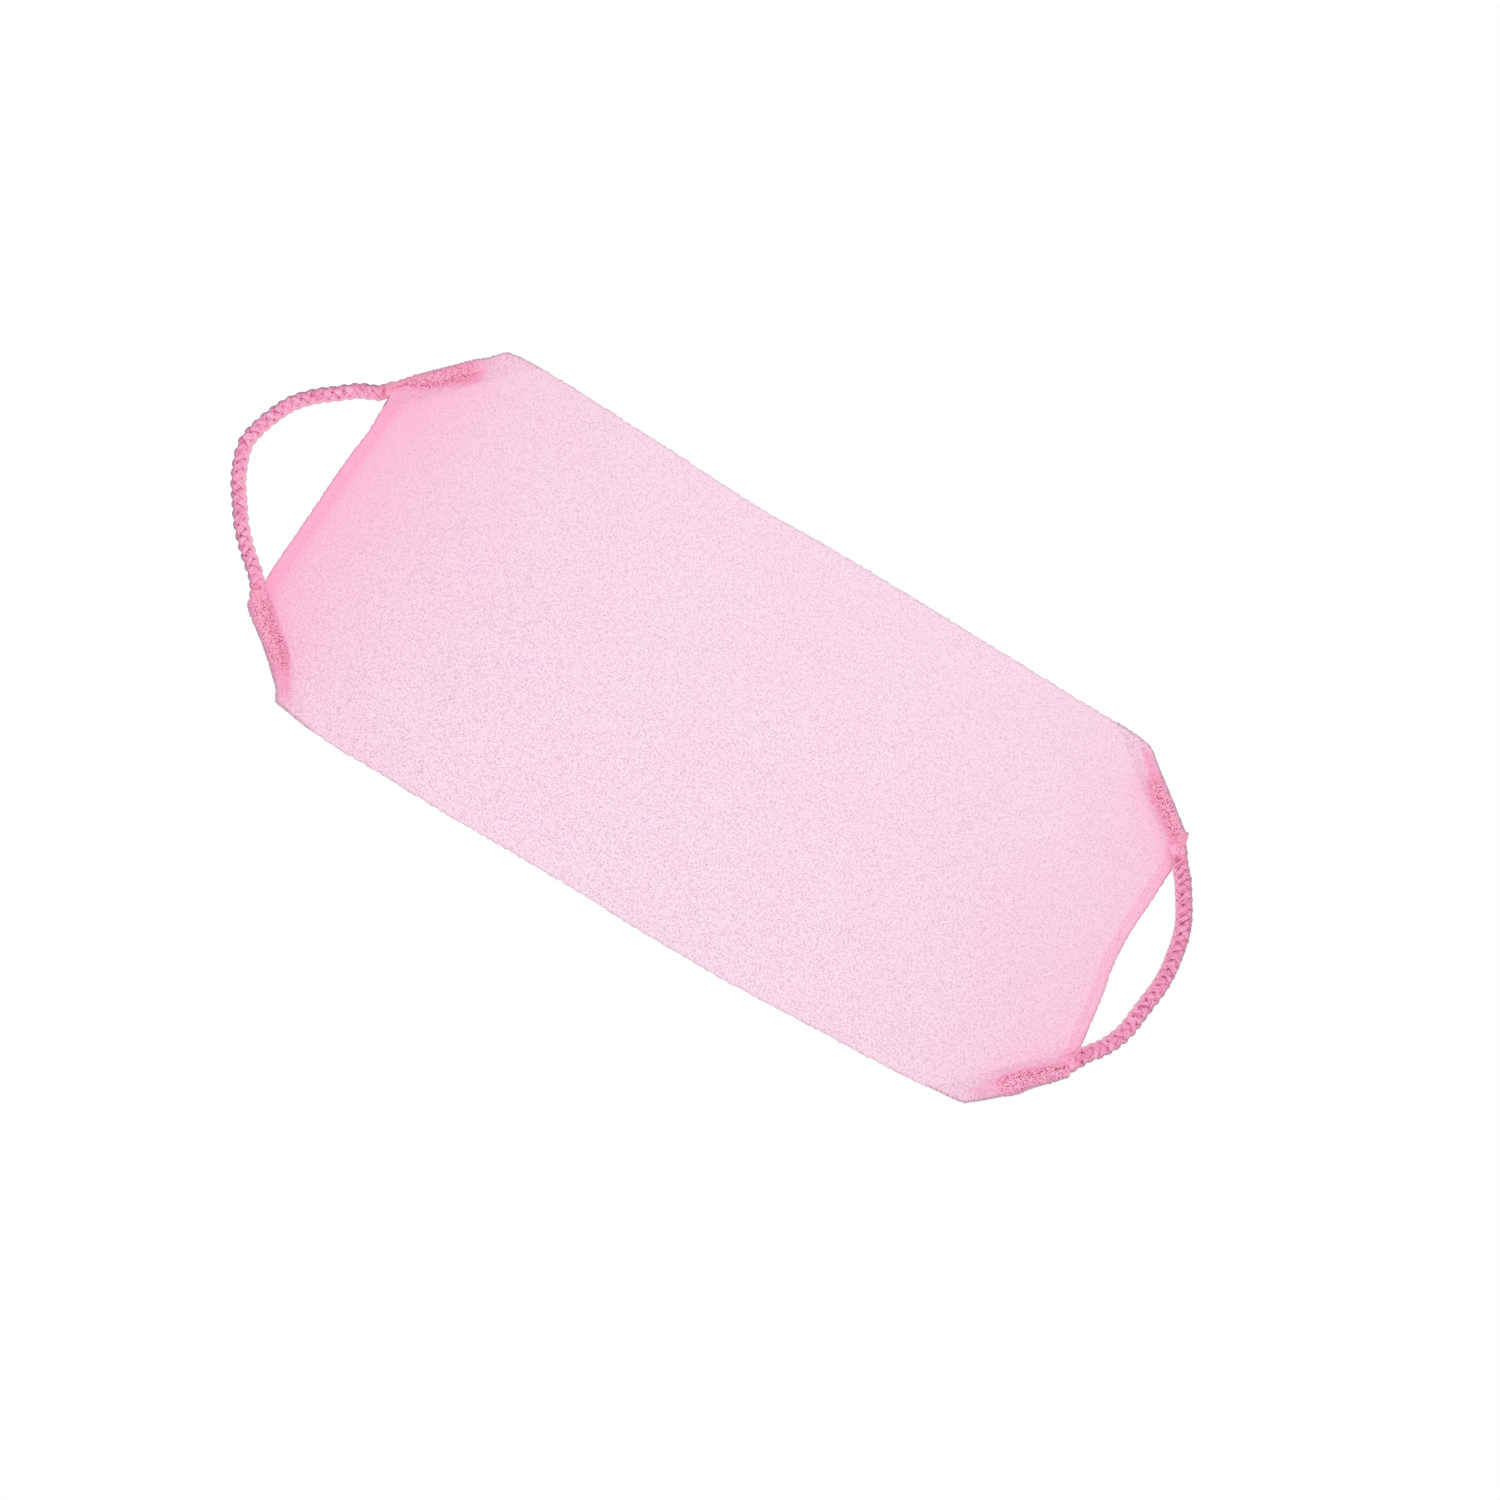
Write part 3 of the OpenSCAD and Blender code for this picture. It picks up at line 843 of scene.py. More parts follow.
class Fold:
    """The shape of one corner's sleeve, at any s."""

    def __init__(self, corner):
        told = FOLDS[corner.name]
        self.corner = corner
        self.rows = np.array(told["rows"]) * MM
        self.end, self.fade, self.smooth, self.rim = (told[k] * MM for k in ("end", "fade", "smooth", "rim"))
        self.smooth_tone, self.cut, self.speckle = told["tone"], told["cut"], told["speckle"]
        self.edge = shown_far_edge if corner.mouth[1] > 0 else shown_near_edge
        end = left_end if corner.side == "left" else right_end
        hem_way = end[len(end) // 2] - corner.mouth
        self.slant = 0.94 * (hem_way @ corner.way) / (hem_way @ corner.inner)
        steps = np.linspace(0, FOLD_REACH, 901)
        self.tip = np.interp(0, -self.margin(steps, FOOT_W), steps)

    def column(self, k, s):
        return through(self.rows[:, [0, k]], s)

    def margin(self, s, t):
        """How far inside the long edge a point is, on plan."""
        x, y = self.corner.plan(s, t).T
        return (np.interp(x, self.edge[:, 0], self.edge[:, 1]) - y) * np.sign(self.corner.mouth[1])

    def outer(self, s):
        """The outer edge's t: its own line, and then the long edge round the corner."""
        across = np.linspace(FOLD_OUT, FOOT_W, 321)
        own = self.column(1, s)
        edge = np.array([np.interp(0, self.margin(one, across), across) for one in s])
        return np.maximum(own, edge) + 0.25 * MM * fading(np.abs(own - edge), 0.5)

    def middle(self, s):
        return self.column(2, s)

    def crease(self, s):
        return self.column(3, s)

    def inner_end(self, s):
        return self.column(4, s)

    def slanted(self, s, t):
        """The s of a point once the mouth is cut along the cloth's end and not square to the rope."""
        shift = 1.45 * self.slant * np.clip(t - 2.5 * MM, 0, 5.5 * MM) + self.cut * np.clip(-t, 0, 8 * MM)
        return s + shift * fading(s, 9)

    def shown(self, s, t):
        """Where a point is on plan, with the cut of the mouth and the waves of the cloth's end."""
        x, y = np.moveaxis(self.corner.plan(self.slanted(s, t), t), -1, 0)
        return x + end_wave(x, y), y


folds = {name: Fold(corner) for name, corner in corners.items()}


# ---- the ropes' lines

# Middles of the handles on plan, from the far mouth to the near one, in millimetres
LEFT_ROUTE = [
    (-215, 54), (-221.5, 51), (-230.5, 44), (-239, 37.5), (-246.5, 29.5), (-251, 21), (-254.5, 11.5),
    (-256, 3), (-254, -5.5), (-250, -14.5), (-244.5, -23), (-238.5, -31.5), (-231.5, -39), (-224, -46),
    (-219.3, -51),
]
RIGHT_ROUTE = [
    (213.5, 52), (218, 46.5), (221.5, 40.5), (225.5, 34), (229, 27.5), (231.5, 20), (233, 12), (234, 4),
    (234, -4), (233, -12), (232, -20), (231, -28), (228.5, -35.5), (225, -42), (221, -48), (219, -51.3),
]
# How high the first two points outside a mouth are
MOUTH_DIP = [4.6 * MM, 4.0 * MM]
ROPE_STEP = 0.42 * MM


def held_line(corner):
    """The rope's middle in its sleeve, from the mouth inwards."""
    s = np.linspace(0, ROPE_HOLD, 13)
    return np.column_stack([corner.plan(s, folds[corner.name].middle(s)), np.full(len(s), HELD_Z)])


def rope_line(side, route, even, far_pull, near_pull):
    """The whole rope's middle, pulled in beside its sleeves, and the numbers of its mouths' points."""
    heights = MOUTH_DIP + [FREE_Z] * (len(route) - 4) + MOUTH_DIP[::-1]
    ends = [held_line(corners[side + "_far"]), held_line(corners[side + "_near"])]
    free = np.column_stack([np.array(route) * MM, heights])
    line = smooth_line(np.vstack([ends[0][::-1], free, ends[1]]), ROPE_STEP)
    mouths = [int(np.argmin(np.linalg.norm(line - end[0], axis=1))) for end in ends]
    from_far, from_near = (np.abs(np.arange(len(line)) - m) * ROPE_STEP for m in mouths)
    pull = even + far_pull * bell(from_far, 8, 6) + near_pull * bell(from_near, 8, 6)
    pull[: mouths[0]] = pull[mouths[1] :] = 0
    way = unit(np.gradient(line[:, :2], axis=0))
    inward = np.stack([-way[:, 1], way[:, 0]], axis=1)
    half = len(line) // 2
    inward *= -np.sign(inward[half, 0] * line[half, 0])
    line[:, :2] += (pull * rise(from_far, 0, 3) * rise(from_near, 0, 3))[:, None] * inward
    return line, mouths


rope_lines = {
    "left": rope_line("left", LEFT_ROUTE, 0.3 * MM, 0.8 * MM, 0.5 * MM),
    "right": rope_line("right", RIGHT_ROUTE, 0.03 * MM, 1.1 * MM, 0.9 * MM),
}


def rope_middle(corner, s):
    """The t of the rope's middle just outside and in a sleeve."""
    line = rope_lines[corner.side][0]
    along, across = corner.local(line[:, 0], line[:, 1])
    beside = (np.abs(across) < 14 * MM) & (along < 20 * MM) & (along > -22 * MM)
    return np.interp(s, *by(np.stack([along, across], axis=1)[beside], 0).T)


# ---- hems

# Inward from the cloth's end, and up, in millimetres
HEM_SECTION = [
    (4.9, 0.35), (3.4, 0.06), (1.5, 0.0), (0.45, 0.35), (0.0, 1.3), (0.3, 2.25), (1.1, 2.8),
    (2.3, 2.95), (3.2, 2.85), (3.6, 2.62), (4.0, 2.75), (4.7, 2.6), (5.2, 2.15), (5.3, 1.2),
]
HEM_AROUND = 36
HEM_STEP = 0.6 * MM
HEM_BUMPS, HEM_CREPE, HEM_PULL = 0.12 * MM, 0.06 * MM, 0.16 * MM
ROPE_CLEAR = 3.35 * MM
CLEAR_TO = 12 * MM
CLEAR_TRIES = 4


def edge_frame(edge, step):
    """Points along one end of the cloth, and the way into the cloth at each."""
    line = smooth_line(edge, step)
    way = unit(np.gradient(line, axis=0))
    inward = np.stack([way[:, 1], -way[:, 0]], axis=1)
    return line, inward * -np.sign(inward[0, 0] * line[0, 0])


def clear_of_rope(x, y, inward, corner):
    """A hem's points, moved into the cloth as far as the rope needs room."""
    for _ in range(CLEAR_TRIES):
        s, t = corner.local(x, y)
        short = np.maximum(rope_middle(corner, s) + ROPE_CLEAR - t, 0)
        short = np.where(s < CLEAR_TO, short, 0) / (inward @ corner.inner)[:, None]
        x, y = x + short * inward[:, :1], y + short * inward[:, 1:]
    return x, y


def hem_piece(side, edge):
    """A rolled hem, drawn in by its stitches and flatter where it goes into the sleeves."""
    line, inward = edge_frame(edge, HEM_STEP)
    along = np.arange(len(line)) * HEM_STEP
    u, z = (closed_loop(HEM_SECTION, HEM_AROUND) * MM).T
    u = u + HEM_BUMPS * edge_bumps.at(along, HEM_LINE)[:, None] * np.exp(-u / (1.2 * MM))
    x, y = np.moveaxis(line[:, None] + u[..., None] * inward[:, None], -1, 0)
    top = rise(z, 0.8, 2.0)
    z = z + HEM_CREPE * crepe_bumps.at(x, y) * top + lift(x, y) * rise(z, 0, 1.5)
    pulled = 1 - 2 * np.abs((along / STITCH_PITCH) % 1 - 0.5)
    z = z - HEM_PULL * pulled[:, None] * bell(u, 3.6, 0.8) * top
    tone, crisp = end_tone(x, y), crispness(x, y)
    x = x + end_wave(x, y)
    for corner in (corners[side + "_near"], corners[side + "_far"]):
        x, y = clear_of_rope(x, y, inward, corner)
        s, t = corner.local(x, y)
        z = z * (1 - 0.35 * rise(s, -0.5, 3) * (s < CLEAR_TO))
        tone = screen(tone, 0.16 * bell(np.hypot(s, t - 5 * MM), 0, 9))
    shape = tubes([np.stack([x, y, z], axis=-1)])
    # Painted shade along the hem's outer rim
    rim = 0.45 * bell(u, 0, 0.6)
    return make_piece("hem_" + side, shape, hem_crepe, ["end_hem_" + side], tone=tone, rim=rim, crisp=crisp)


def hem_stitches(side, edge):
    """Stitches along a hem, except for its ends in the sleeves."""
    line, inward = edge_frame(edge, STITCH_PITCH)
    share = np.linspace(-1, 1, 7)
    runs = []
    for i in range(3, len(line) - 4):
        way = (line[i + 1] - line[i]) / STITCH_PITCH
        middle = line[i] + (HEM_W - HEM_STITCH_INSET) * inward[i]
        middle = middle + [end_wave(*middle), 0]
        height = HEM_T - 0.36 * MM + lift(*middle) - 0.25 * MM * share**2
        runs.append(np.column_stack([middle + 0.5 * STITCH_LEN * share[:, None] * way, height]))
    return stitches("hem_thread_" + side, "hem_stitches_" + side, runs, HEM_THREAD_R)


# ---- sleeves

SLEEVE_STEP = 0.42 * MM
SLEEVE_AROUND = 120
CREST = 10.15 * MM
FLAT_FOLD = 2.35 * MM
BORE_R = 3.95 * MM
BORE_END_R = 2.6 * MM
BORE_DEEP = 6 * MM
LIP = 0.45 * MM
# Added to lengths that could be 0
TINY = 1e-9
# How deep the pink is in the bore, in the coarse part, past the folds and inside them
BORE_TONE, DEEP_TONE, PAST_TONE, PLAIN_TONE = 0.55, 0.84, 0.16, 0.24


def flank_height(u):
    """The inner flank's height, by its share of the way from the rope's middle to the seam."""
    return 1 - ease(u, 0.12, 1.0)


def fold_section(outer, middle, seam, crest, seam_z):
    """One section of a sleeve: t and z, from the seam along the underside and over the fold to the seam."""
    power = 2 / (2 + 2.5 * fall(crest, 3, 8))
    angle = np.linspace(-math.pi / 2, math.pi / 2, 61)
    bow, up = np.cos(angle) ** power, np.sign(np.sin(angle)) * np.abs(np.sin(angle)) ** power
    arc = np.column_stack([middle - (middle - outer) * bow, crest / 2 * (1 + up)])
    u = np.linspace(0, 1, 41)[1:]
    flank = np.column_stack([middle + u * (seam - middle), seam_z + (crest - seam_z) * flank_height(u)])
    under = np.column_stack([np.linspace(seam, middle, 12)[:-1], np.zeros(11)])
    return np.vstack([under, arc, flank])


def sleeve_sections(fold, s):
    """A sleeve without its gathers: its edge, seam and crest, and its points' t, z and way around."""
    middle = fold.middle(s)
    seam = np.maximum(FOOT_W + 1.4 * MM, middle + 7.2 * MM)
    seam = np.minimum(seam, FOOT_W + 0.6 * MM + 0.5 * np.maximum(fold.tip - s, 0))
    outer = np.minimum(fold.outer(s), seam - 0.4 * MM)
    middle = np.maximum(middle, outer + 0.3 * (seam - outer))
    crest = CREST + (FLAT_FOLD - CREST) * rise(s - max(fold.end, ROPE_HOLD), 0.5, 14)
    crest = crest - 0.8 * MM * fading(s, 4)
    seam_z = PANEL_T - 0.1 * MM + 0.9 * MM * fading(s, 4)
    sections = [fold_section(*row) for row in zip(outer, middle, seam, crest, seam_z)]
    t, z = np.moveaxis([resampled(section, SLEEVE_AROUND) for section in sections], -1, 0)
    around = np.array([np.linspace(0, distances(section)[-1], SLEEVE_AROUND) for section in sections])
    return outer[:, None], seam[:, None], crest[:, None], t, z, around


def outward_from(t, z):
    """The outward directions of a sleeve's sections, in t and z."""
    dt, dz = np.gradient(t, axis=1), np.gradient(z, axis=1)
    size = np.hypot(dt, dz) + TINY
    sign = np.sign((dt / size * rise(z, 2, 4)).sum())
    return -dz / size * sign, dt / size * sign


def mouth_rings(fold, first):
    """The bore that the rope comes out of and the mouth's lip, from the t and z of a sleeve's first ring."""
    centre, deeper = (np.array([fold.middle(s), HELD_Z]) for s in (0, BORE_DEEP))
    reach = np.linalg.norm(first - centre, axis=1)[:, None]
    out = (first - centre) / reach
    bore, narrow = centre + out * BORE_R, deeper + out * BORE_END_R
    lip = first - out * np.minimum(LIP, 0.5 * (reach - BORE_R))
    rings = [(BORE_DEEP, narrow), (0.3 * MM, bore), (-0.2 * MM, 0.35 * lip + 0.65 * bore), (-0.3 * MM, lip)]
    return np.array([np.column_stack([*fold.shown(s, ring[:, 0]), ring[:, 1]]) for s, ring in rings])


def sleeve_piece(corner):
    """A corner's sleeve, gathered along the crease in which it is sewn."""
    fold = folds[corner.name]
    s = np.linspace(0, fold.tip - 0.15 * MM, round(fold.tip / SLEEVE_STEP))
    outer, seam, crest, t, z, around = sleeve_sections(fold, s)
    s = s[:, None]
    past_end, crease, inner_end = s - fold.end, fold.crease(s), fold.inner_end(s)

    # Its gathers, and the furrow of the crease
    out_t, out_z = outward_from(t, z)
    on_top, held = ease(out_z, 0.0, 0.5), fall(past_end, -2, 7)
    from_crease = np.abs(t - crease)
    gathers = gather_bumps.at(s + 0.35 * from_crease + corner.bumps_at[0], 0.32 * around + corner.bumps_at[1])
    puckers = pucker_bumps.at(s + corner.bumps_at[0], around + corner.bumps_at[1])
    wrinkle = gathers * (0.10 + 0.22 * fading(from_crease, 2.6)) * (0.3 + 0.7 * held) + 0.11 * puckers
    furrow = 0.75 * bell(from_crease, 0, 0.75) * on_top * rise(s, 0, 4) * held
    move = MM * (wrinkle - furrow) * rise(z, 0.2, 1.4) * fall(t - seam, -1.6, -0.1)
    t, z = t + out_t * move, np.maximum(z + out_z * move, LOWEST)
    x, y = fold.shown(s, t)
    z = z + lift(x, y) * rise(t - seam, -3, 0)

    # How deep its pink is
    deep = DEEP_TONE + (fold.smooth_tone - DEEP_TONE) * rise(past_end, -3, 3)
    deep = deep + (PAST_TONE - deep) * rise(s - fold.fade, -4, 5)
    plain = PLAIN_TONE - 0.12 * ease(s, fold.end - 6 * MM, fold.fade)
    faint = 1 - 0.5 * bell(s, 0, 2.5) * fall(t, -3.5, -1.5)
    folded = fall(t - inner_end, -1.0, 2.0) * faint
    across = folded * ease(t, outer - 0.5 * MM, outer + MM * (1.6 + 1.8 * rise(past_end, -2, 4)))
    # Painted shade in the crease along the fold
    crease_shade = bell(t - crease, 0.4, 1.3) * on_top * fall(past_end, -3, 1)
    beside_mouth = fall(s, 0.5, 5) * rise(t, 0.5, 3)
    own = plain + (deep - plain) * across * (1 - 0.45 * beside_mouth)
    # Painted shade in the crease, and painted highlight on the gathers' tops
    own = own + 0.12 * crease_shade - 0.05 * gathers * held
    kept = fall(t - seam, -2.5, 0)
    own = own * kept + sleeve_glow(x, y) * (1 - kept)
    tone = screen(np.clip(own, 0, 1), end_tone(x, y) * (1 - 0.45 * kept))
    # Painted shade on the sleeve's outer edge, fainter low down on the flank
    rim = 0.80 * (1 - ease(t - outer, 0.3 * fold.rim, 1.6 * fold.rim))
    rim = rim * (0.15 + 0.85 * ease(z / crest, 0.25, 0.6))

    # How crisp its crepe is, which sets how strong the painted pit shade and ridge highlight are, more so in
    # the crease
    coarse = fall(past_end + 2.2 * MM * gathers, -8, 2) * (1 - 0.75 * bell(t - inner_end, 0, 1.5))
    crisp = 0.30 + 0.70 * (0.5 * across + 0.5 * folded) * coarse + 0.6 * crease_shade
    speckled = rise(fold.slanted(s, t) - fold.smooth, -1.5, 1.5)
    crisp = crisp * fold.speckle * (1 - 0.8 * beside_mouth) * (0.25 + 0.75 * speckled)
    crisp = crisp + 0.25 * rise(past_end, 4, 14)

    mouth = mouth_rings(fold, np.column_stack([t[0], z[0]]))
    in_mouth = np.ones(mouth.shape[:2])
    shape = tubes([np.concatenate([mouth, np.stack([x, y, z], axis=-1)])])
    values = {"tone": (BORE_TONE, tone), "rim": (0, rim), "crisp": (0, crisp)}
    values = {key: np.concatenate([in_mouth * first, rest]) for key, (first, rest) in values.items()}
    return make_piece("fold_" + corner.name, shape, sleeve_crepe, ["sleeve_" + corner.name], **values)


def sleeve_stitches(corner):
    """Small stitches down in the crease."""
    fold = folds[corner.name]
    share = np.linspace(-1, 1, 6)
    runs = []
    for start in np.arange(5 * MM, fold.end - 2 * MM, STITCH_PITCH):
        s = start + 0.31 * STITCH_PITCH * (1 + share)
        crease, middle = fold.crease(s), fold.middle(s)
        u = (crease - middle) / (FOOT_W - middle)
        height = np.where(u > 0, flank_height(u), np.sqrt(1 - np.minimum(u, 0) ** 2))
        z = PANEL_T + (CREST - PANEL_T) * height - 0.78 * MM - 0.3 * MM * share**2
        runs.append(np.column_stack([corner.plan(s, crease), z]))
    return stitches("fold_thread_" + corner.name, "sleeve_stitches_" + corner.name, runs, SLEEVE_THREAD_R)


# ---- ropes

STRANDS_EACH_WAY = 3
STRAND_R = 2.3 * MM
WEAVE = 0.52 * MM
STRAND_HALF_T = 0.9 * MM
YARN_W = 1.0 * MM
CORE_R = 2.0 * MM
CORE_AROUND = 12
STRAND_AROUND = 36
COLUMN_AT = math.radians(12)
DRIFT = math.radians(8)
ROPE_SEED = 9

# How far out of its mouth each sleeve's inner layer goes along the rope, in millimetres, and its tone
COLLARS = {
    "left_far": (2.0, 0.62), "right_far": (3.4, 0.52), "right_near": (3.6, 0.62), "left_near": (2.6, 0.66),
}
COLLAR_HELD = 3 * MM
COLLAR_R = 4.0 * MM
COLLAR_AROUND = 56


class Braid:
    """A rope's strands and core along a line: their rings, and the values at their points.

    lay is the length of a strand's full turn, and size how many times ROPE_D the rope is thick. level is
    how pale it is, outer and inner the painted light that the two sides of its bend add, and shade how
    strong the painted shade on its outer contour is. outward is 1 where the line's own side points away from
    the cloth, and else -1.
    """

    def __init__(self, line, mouths, outward, lay, size, level, outer, inner, shade):
        self.line, self.outward, self.lay = line, outward, lay
        self.level, self.outer, self.inner, self.shade = level, outer, inner, shade
        _, self.side, self.up = carried_frame(line)
        self.along = along = np.arange(len(line)) * ROPE_STEP
        self.wander = COLUMN_AT + DRIFT * (np.sin(along / (31 * MM)) + 0.5 * np.sin(along / (13 * MM) + 1))
        self.beat = along + MM * (0.35 * np.sin(along / (7 * MM)) + 0.25 * np.sin(along / (2.9 * MM) + 2))
        past_far, past_near = along - along[mouths[0]], along - along[mouths[1]]
        # Painted shade where the rope goes into the sleeves
        self.flush = 0.75 * (bell(past_far, 0, 4.2) + bell(past_near, 0, 4.2))[:, None]
        in_sleeves = 1 - rise(past_far, -2.5, 0) * fall(past_near, 0, 2.5)
        self.size = (size * (1 - 0.18 * in_sleeves))[:, None, None]
        slope = math.atan(math.tau * STRAND_R * size / lay)
        self.half_w = 0.49 * lay / STRANDS_EACH_WAY * math.sin(slope) / size
        self.rings, self.values = [], {}
        uneven = np.random.default_rng(ROPE_SEED)
        for turn in (1, -1):
            for k in range(STRANDS_EACH_WAY):
                self.add_strand(turn, math.tau * k / STRANDS_EACH_WAY, uneven.uniform(0, 6))
        self.add(circles(line, CORE_R, CORE_AROUND), **dict.fromkeys(self.values, 0))

    def add(self, ring, **values):
        self.rings.append(ring)
        for key, value in values.items():
            self.values.setdefault(key, []).append(np.broadcast_to(value, ring.shape[:2]))

    def add_strand(self, turn, start, swing):
        """One strand: which way round it turns, the angle it starts at, and where its width swings from."""
        line, along, side = self.line, self.along[:, None], self.side[:, None]
        angle = turn * math.tau * self.beat / self.lay + start
        over = turn * np.cos(STRANDS_EACH_WAY * angle)
        angle = angle + self.wander
        out = np.cos(angle)[:, None] * self.side + np.sin(angle)[:, None] * self.up
        weave = WEAVE * (1 + 0.35 * self.outward * np.cos(angle))
        middle = line + (STRAND_R + weave * np.clip(1.2 * over, -1, 1))[:, None] * out
        heading = unit(np.gradient(middle, axis=0))
        across = unit(np.cross(heading, out))
        across, out = across[:, None], np.cross(across, heading)[:, None]

        # Its section: flat below, and of several yarns side by side on top
        round_it = full_turn(STRAND_AROUND)
        top, flat = np.sin(round_it), np.sign(np.cos(round_it)) * np.abs(np.cos(round_it)) ** 0.85
        a = self.half_w * (1 + 0.05 * np.sin(along / (5 * MM) + swing)) * flat
        yarn = np.cos(math.tau * a / YARN_W + along / (2.4 * MM))
        b = STRAND_HALF_T * top - 0.10 * a**2 / STRAND_R + 0.11 * MM * yarn * np.maximum(top, 0)
        ring = middle[:, None] + self.size * (a[..., None] * across + b[..., None] * out)
        ring = ring + (self.size - 1) * (middle - line)[:, None]
        ring[..., 2] = np.maximum(ring[..., 2], 0)

        # Its looks, with painted shade and painted light
        beside = ((ring - line[:, None]) * side).sum(-1) * self.outward / (self.size[..., 0] * ROPE_D / 2)
        above = rise(ring[..., 2] - line[:, None, 2], -1.4, -0.2)
        # Painted highlight on the strands' tops and where they cross over, painted shade at their sides, over
        # the rope's own level and yarn lines
        raised = self.level + over[:, None] * 0.07 + top * 0.25 - 0.16 * np.abs(flat) ** 3 + 0.18 * yarn
        # Painted light: one side of the bend paler than the other
        raised = raised + self.outer * np.maximum(beside, 0) + self.inner * np.maximum(-beside, 0)
        normal = np.cos(round_it)[:, None] / self.half_w * across + top[:, None] / STRAND_HALF_T * out
        faces_out = (unit(normal) * side).sum(-1) * self.outward
        clear = 1 - np.minimum(self.flush, 1)
        self.add(
            ring,
            around=a / MM + 13 * (len(self.rings) + 1),
            along=along / (6 * MM),
            raised=np.clip(raised, 0, 1),
            flush=self.flush,
            # Painted shade along the outer contour, from just below its middle up
            edge=self.shade * ease(beside, 0.5, 0.8) * ease(faces_out, 0.3, 0.8) * above * clear,
            # Painted light on the inner side of the bend
            soft=0.65 * ease(-beside, 0.4, 0.85) * ease(-faces_out, 0.2, 0.8) * clear,
        )

    def piece(self, name, first, last, body, nodes):
        """The piece of the rope between two of its line's points."""
        part = slice(first, last + 1)
        shape = tubes([ring[part] for ring in self.rings])
        values = {key: np.concatenate([v[part].ravel() for v in each]) for key, each in self.values.items()}
        return make_piece(name, shape, rope_yarn, nodes, body, **values)


def collar_piece(corner, size):
    """A sleeve's inner layer, which goes on a little way along the rope outside the mouth."""
    reach, tone = COLLARS[corner.name]
    line, (first, last) = rope_lines[corner.side]
    held, free = round(COLLAR_HELD / ROPE_STEP), round(reach * MM / ROPE_STEP)
    if corner.mouth[1] > 0:
        line = line[first - held : first + free + 1]
    else:
        line = line[last - free : last + held + 1][::-1]
    _, side, up = carried_frame(line)
    angle = full_turn(COLLAR_AROUND)[None, :]
    share = np.linspace(0, 1, 2 * len(line))[:, None]
    outer_side = np.cos(angle) * np.sign(side[0, :2] @ -corner.inner)
    place = share * (len(line) - 1) * (1 - 0.18 * share * (0.5 + 0.5 * outer_side))
    at = lambda values: np.stack([np.interp(place, np.arange(len(line)), v) for v in values.T], axis=-1)
    ruck = gather_bumps.at(place * ROPE_STEP + corner.bumps_at[0], angle * COLLAR_R + corner.bumps_at[1])
    radius = COLLAR_R * (0.6 + 0.4 * size) + MM * (0.08 * ruck - 0.15 * share - 0.7 * share**14)
    out = np.cos(angle)[..., None] * at(side) + np.sin(angle)[..., None] * at(up)
    rings = at(line) + radius[..., None] * out
    rings[..., 2] = np.maximum(rings[..., 2], 0)
    values = {
        # Painted highlight: paler on the rucks' tops
        "tone": np.clip(tone + 0.22 * share**2 - 0.05 * ruck, 0, 1),
        # Painted shade on the collar's outer side
        "rim": 0.85 * ease(outer_side, 0.50, 0.85) * np.ones_like(share),
        "crisp": 0.30 + 0.35 * share * np.ones_like(angle),
    }
    return make_piece("collar_" + corner.name, tubes([rings]), sleeve_crepe, body=None, **values)


def handle(side, starts, ends, size, **braid):
    """A handle: two held ends on the cloth, and a free part between them. starts and ends are not used."""
    far, near = corners[side + "_far"], corners[side + "_near"]
    line, (first, last) = rope_lines[side]
    rope = Braid(line, (first, last), 1 if side == "left" else -1, size=size, **braid)
    for corner, part in ((far, (0, first)), (near, (last, len(line) - 1))):
        rope.piece("rope_held_" + corner.name, *part, "cloth", ["rope_end_" + corner.name])
    nodes = ["rope_root_" + far.name, "rope_root_" + near.name, "rope_loop_" + side]
    free = rope.piece("rope_free_" + side, first, last, None, nodes)
    axis = unit(near.mouth - far.mouth)
    out = np.array([-axis[1], axis[0]])
    out *= np.sign(out[0] * far.mouth[0])
    for piece in [free] + [collar_piece(corner, size) for corner in (far, near)]:
        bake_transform(piece)


# ---- the whole object

front_crepe = panel_piece("front_crepe", "front_panel", 1, crepe_bumps)
back_crepe = panel_piece("back_crepe", "back_panel", -1, back_bumps)
edging = [hem_piece("left", left_end), hem_piece("right", right_end)]
edging += [hem_stitches("left", left_end), hem_stitches("right", right_end)]
for corner in corners.values():
    edging += [sleeve_piece(corner), sleeve_stitches(corner)]
left_tone_and_light = {"level": 0.49, "outer": -0.05, "inner": 0.10, "shade": 0.95}
right_tone_and_light = {"level": 0.34, "outer": 0.28, "inner": 0.0, "shade": 0.6}
handle("left", starts=-8 * MM, ends=15 * MM, size=1.01, lay=14.4 * MM, **left_tone_and_light)
handle("right", starts=-6.3 * MM, ends=13 * MM, size=1.13, lay=13.3 * MM, **right_tone_and_light)

# The threads inside the cloth are shown as the CAD has them
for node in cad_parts.values():
    if not node.hide_render:
        node.data.materials.clear()
        node.data.materials.append(thread)


# ---- floor and light

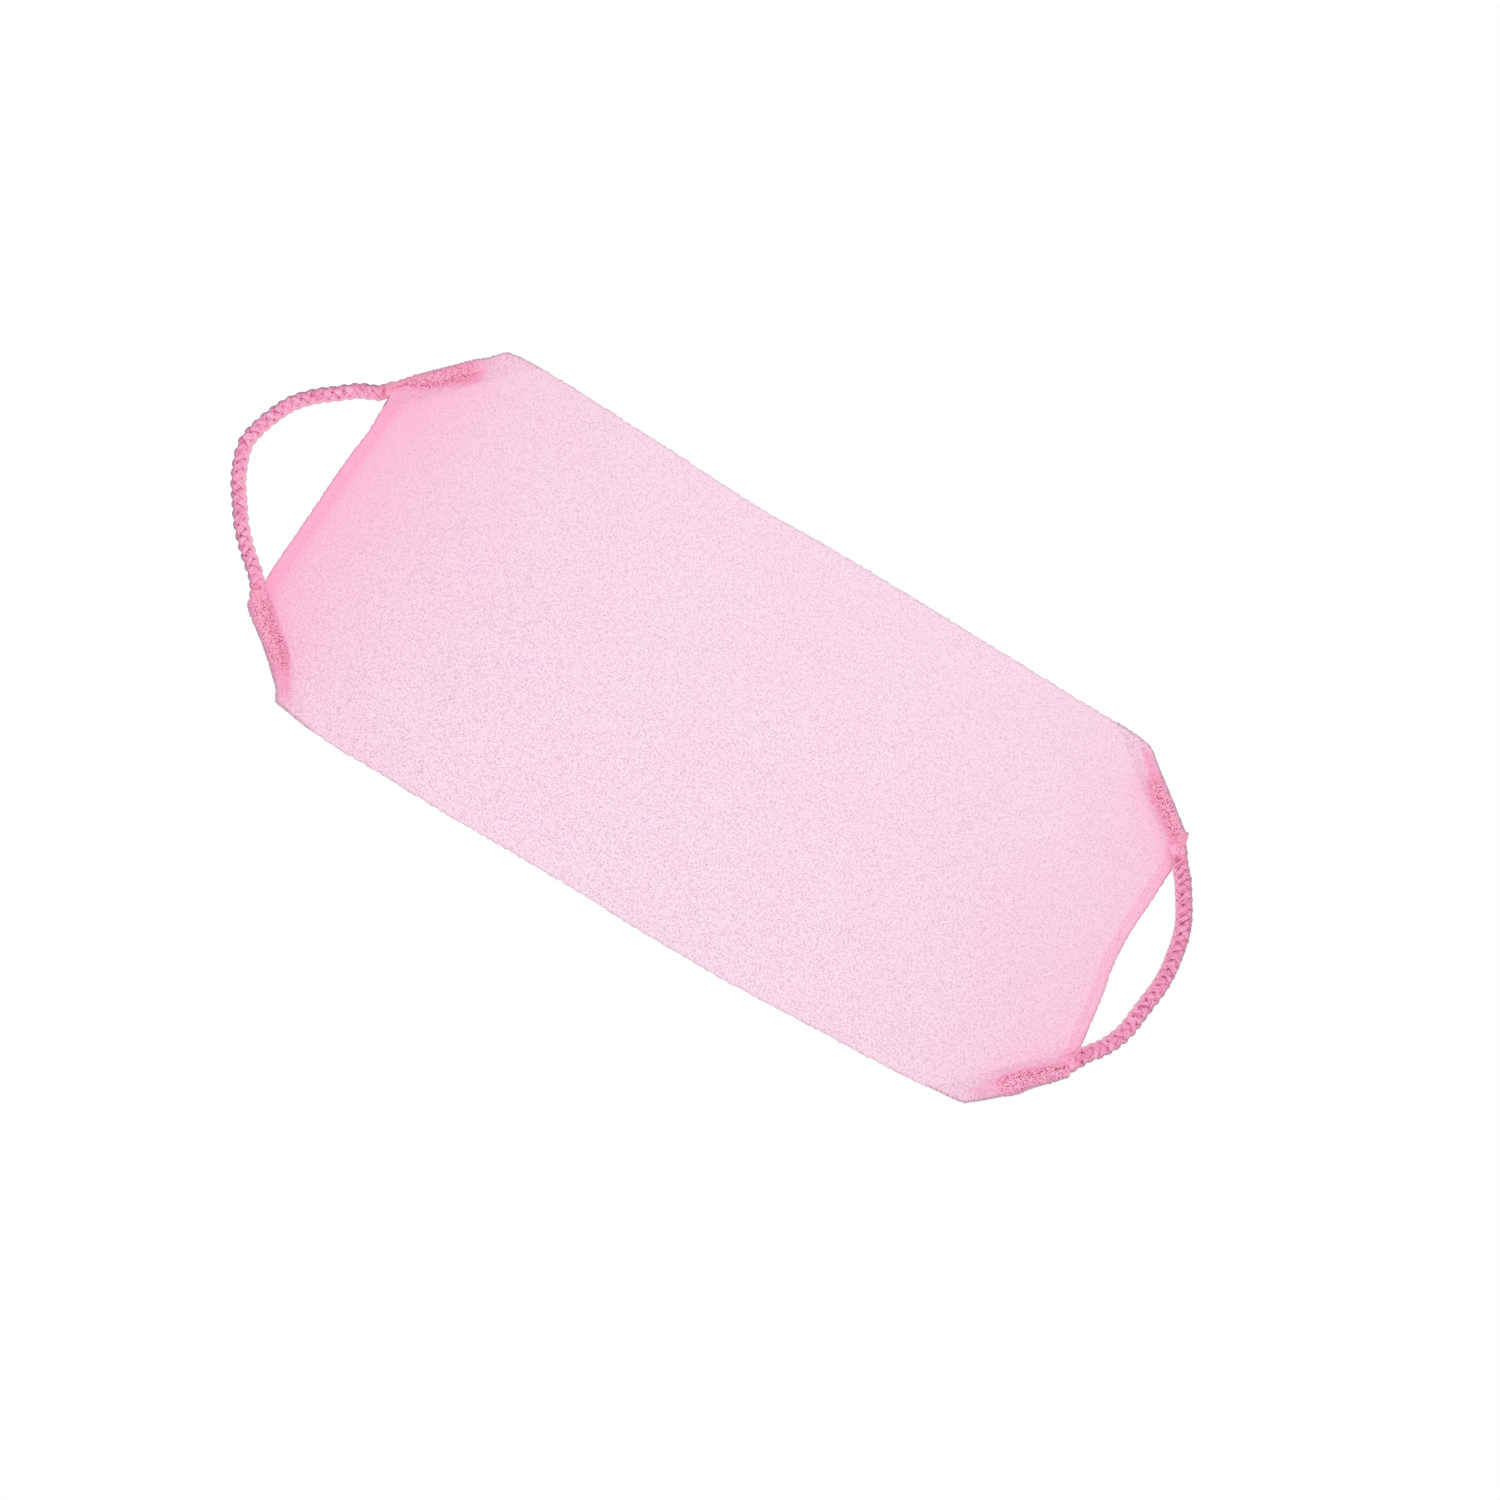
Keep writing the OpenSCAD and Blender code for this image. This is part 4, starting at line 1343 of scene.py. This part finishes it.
FLOOR_HALF = 2.0
FLOOR_Z = -0.3 * MM
LAMP_HEIGHT = 1.1
LAMP_SIZE = 0.6
LAMP_SHARE = 0.24
FILL_SHARE = 0.80


def make_floor():
    """A white floor that the camera sees as pure white."""
    mesh = bpy.data.meshes.new("floor")
    a = FLOOR_HALF
    mesh.from_pydata([(-a, -a, 0), (a, -a, 0), (a, a, 0), (-a, a, 0)], [], [(0, 1, 2, 3)])
    floor = add_object("floor", mesh)
    floor.location.z = FLOOR_Z
    material = bpy.data.materials.new("floor_white")
    material.use_nodes = True
    tree = material.node_tree
    tree.nodes.clear()
    seen = add_node(tree, "ShaderNodeLightPath").outputs["Is Camera Ray"]
    diffuse = add_node(tree, "ShaderNodeBsdfDiffuse", {"Color": (0.8, 0.8, 0.8, 1)}).outputs[0]
    glow = add_node(tree, "ShaderNodeEmission").outputs[0]
    mix = add_node(tree, "ShaderNodeMixShader", {0: seen, 1: diffuse, 2: glow}).outputs[0]
    add_node(tree, "ShaderNodeOutputMaterial", {"Surface": mix})
    mesh.materials.append(material)
    floor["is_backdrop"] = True


def make_light():
    """A soft lamp overhead, and a white world that gives less light than the camera sees in it."""
    data = bpy.data.lights.new("lamp", "AREA")
    data.shape, data.size = "DISK", LAMP_SIZE
    data.energy = LAMP_SHARE * math.pi**2 * LAMP_HEIGHT**2
    add_object("lamp", data).location = (0.0, 0.0, LAMP_HEIGHT)
    world = bpy.data.worlds.new("world")
    world.use_nodes = True
    tree = world.node_tree
    seen = add_node(tree, "ShaderNodeLightPath").outputs["Is Camera Ray"]
    strength = add_node(tree, "ShaderNodeMapRange", {"Value": seen, "To Min": FILL_SHARE, "To Max": 1.0})
    background = tree.nodes["Background"]
    background.inputs["Color"].default_value = (1, 1, 1, 1)
    tree.links.new(strength.outputs["Result"], background.inputs["Strength"])
    bpy.context.scene.world = world


make_floor()
make_light()
bpy.context.scene.view_settings.view_transform = "Standard"

{"cad": cad_bounds, "shown": [list(corner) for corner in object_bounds()]}
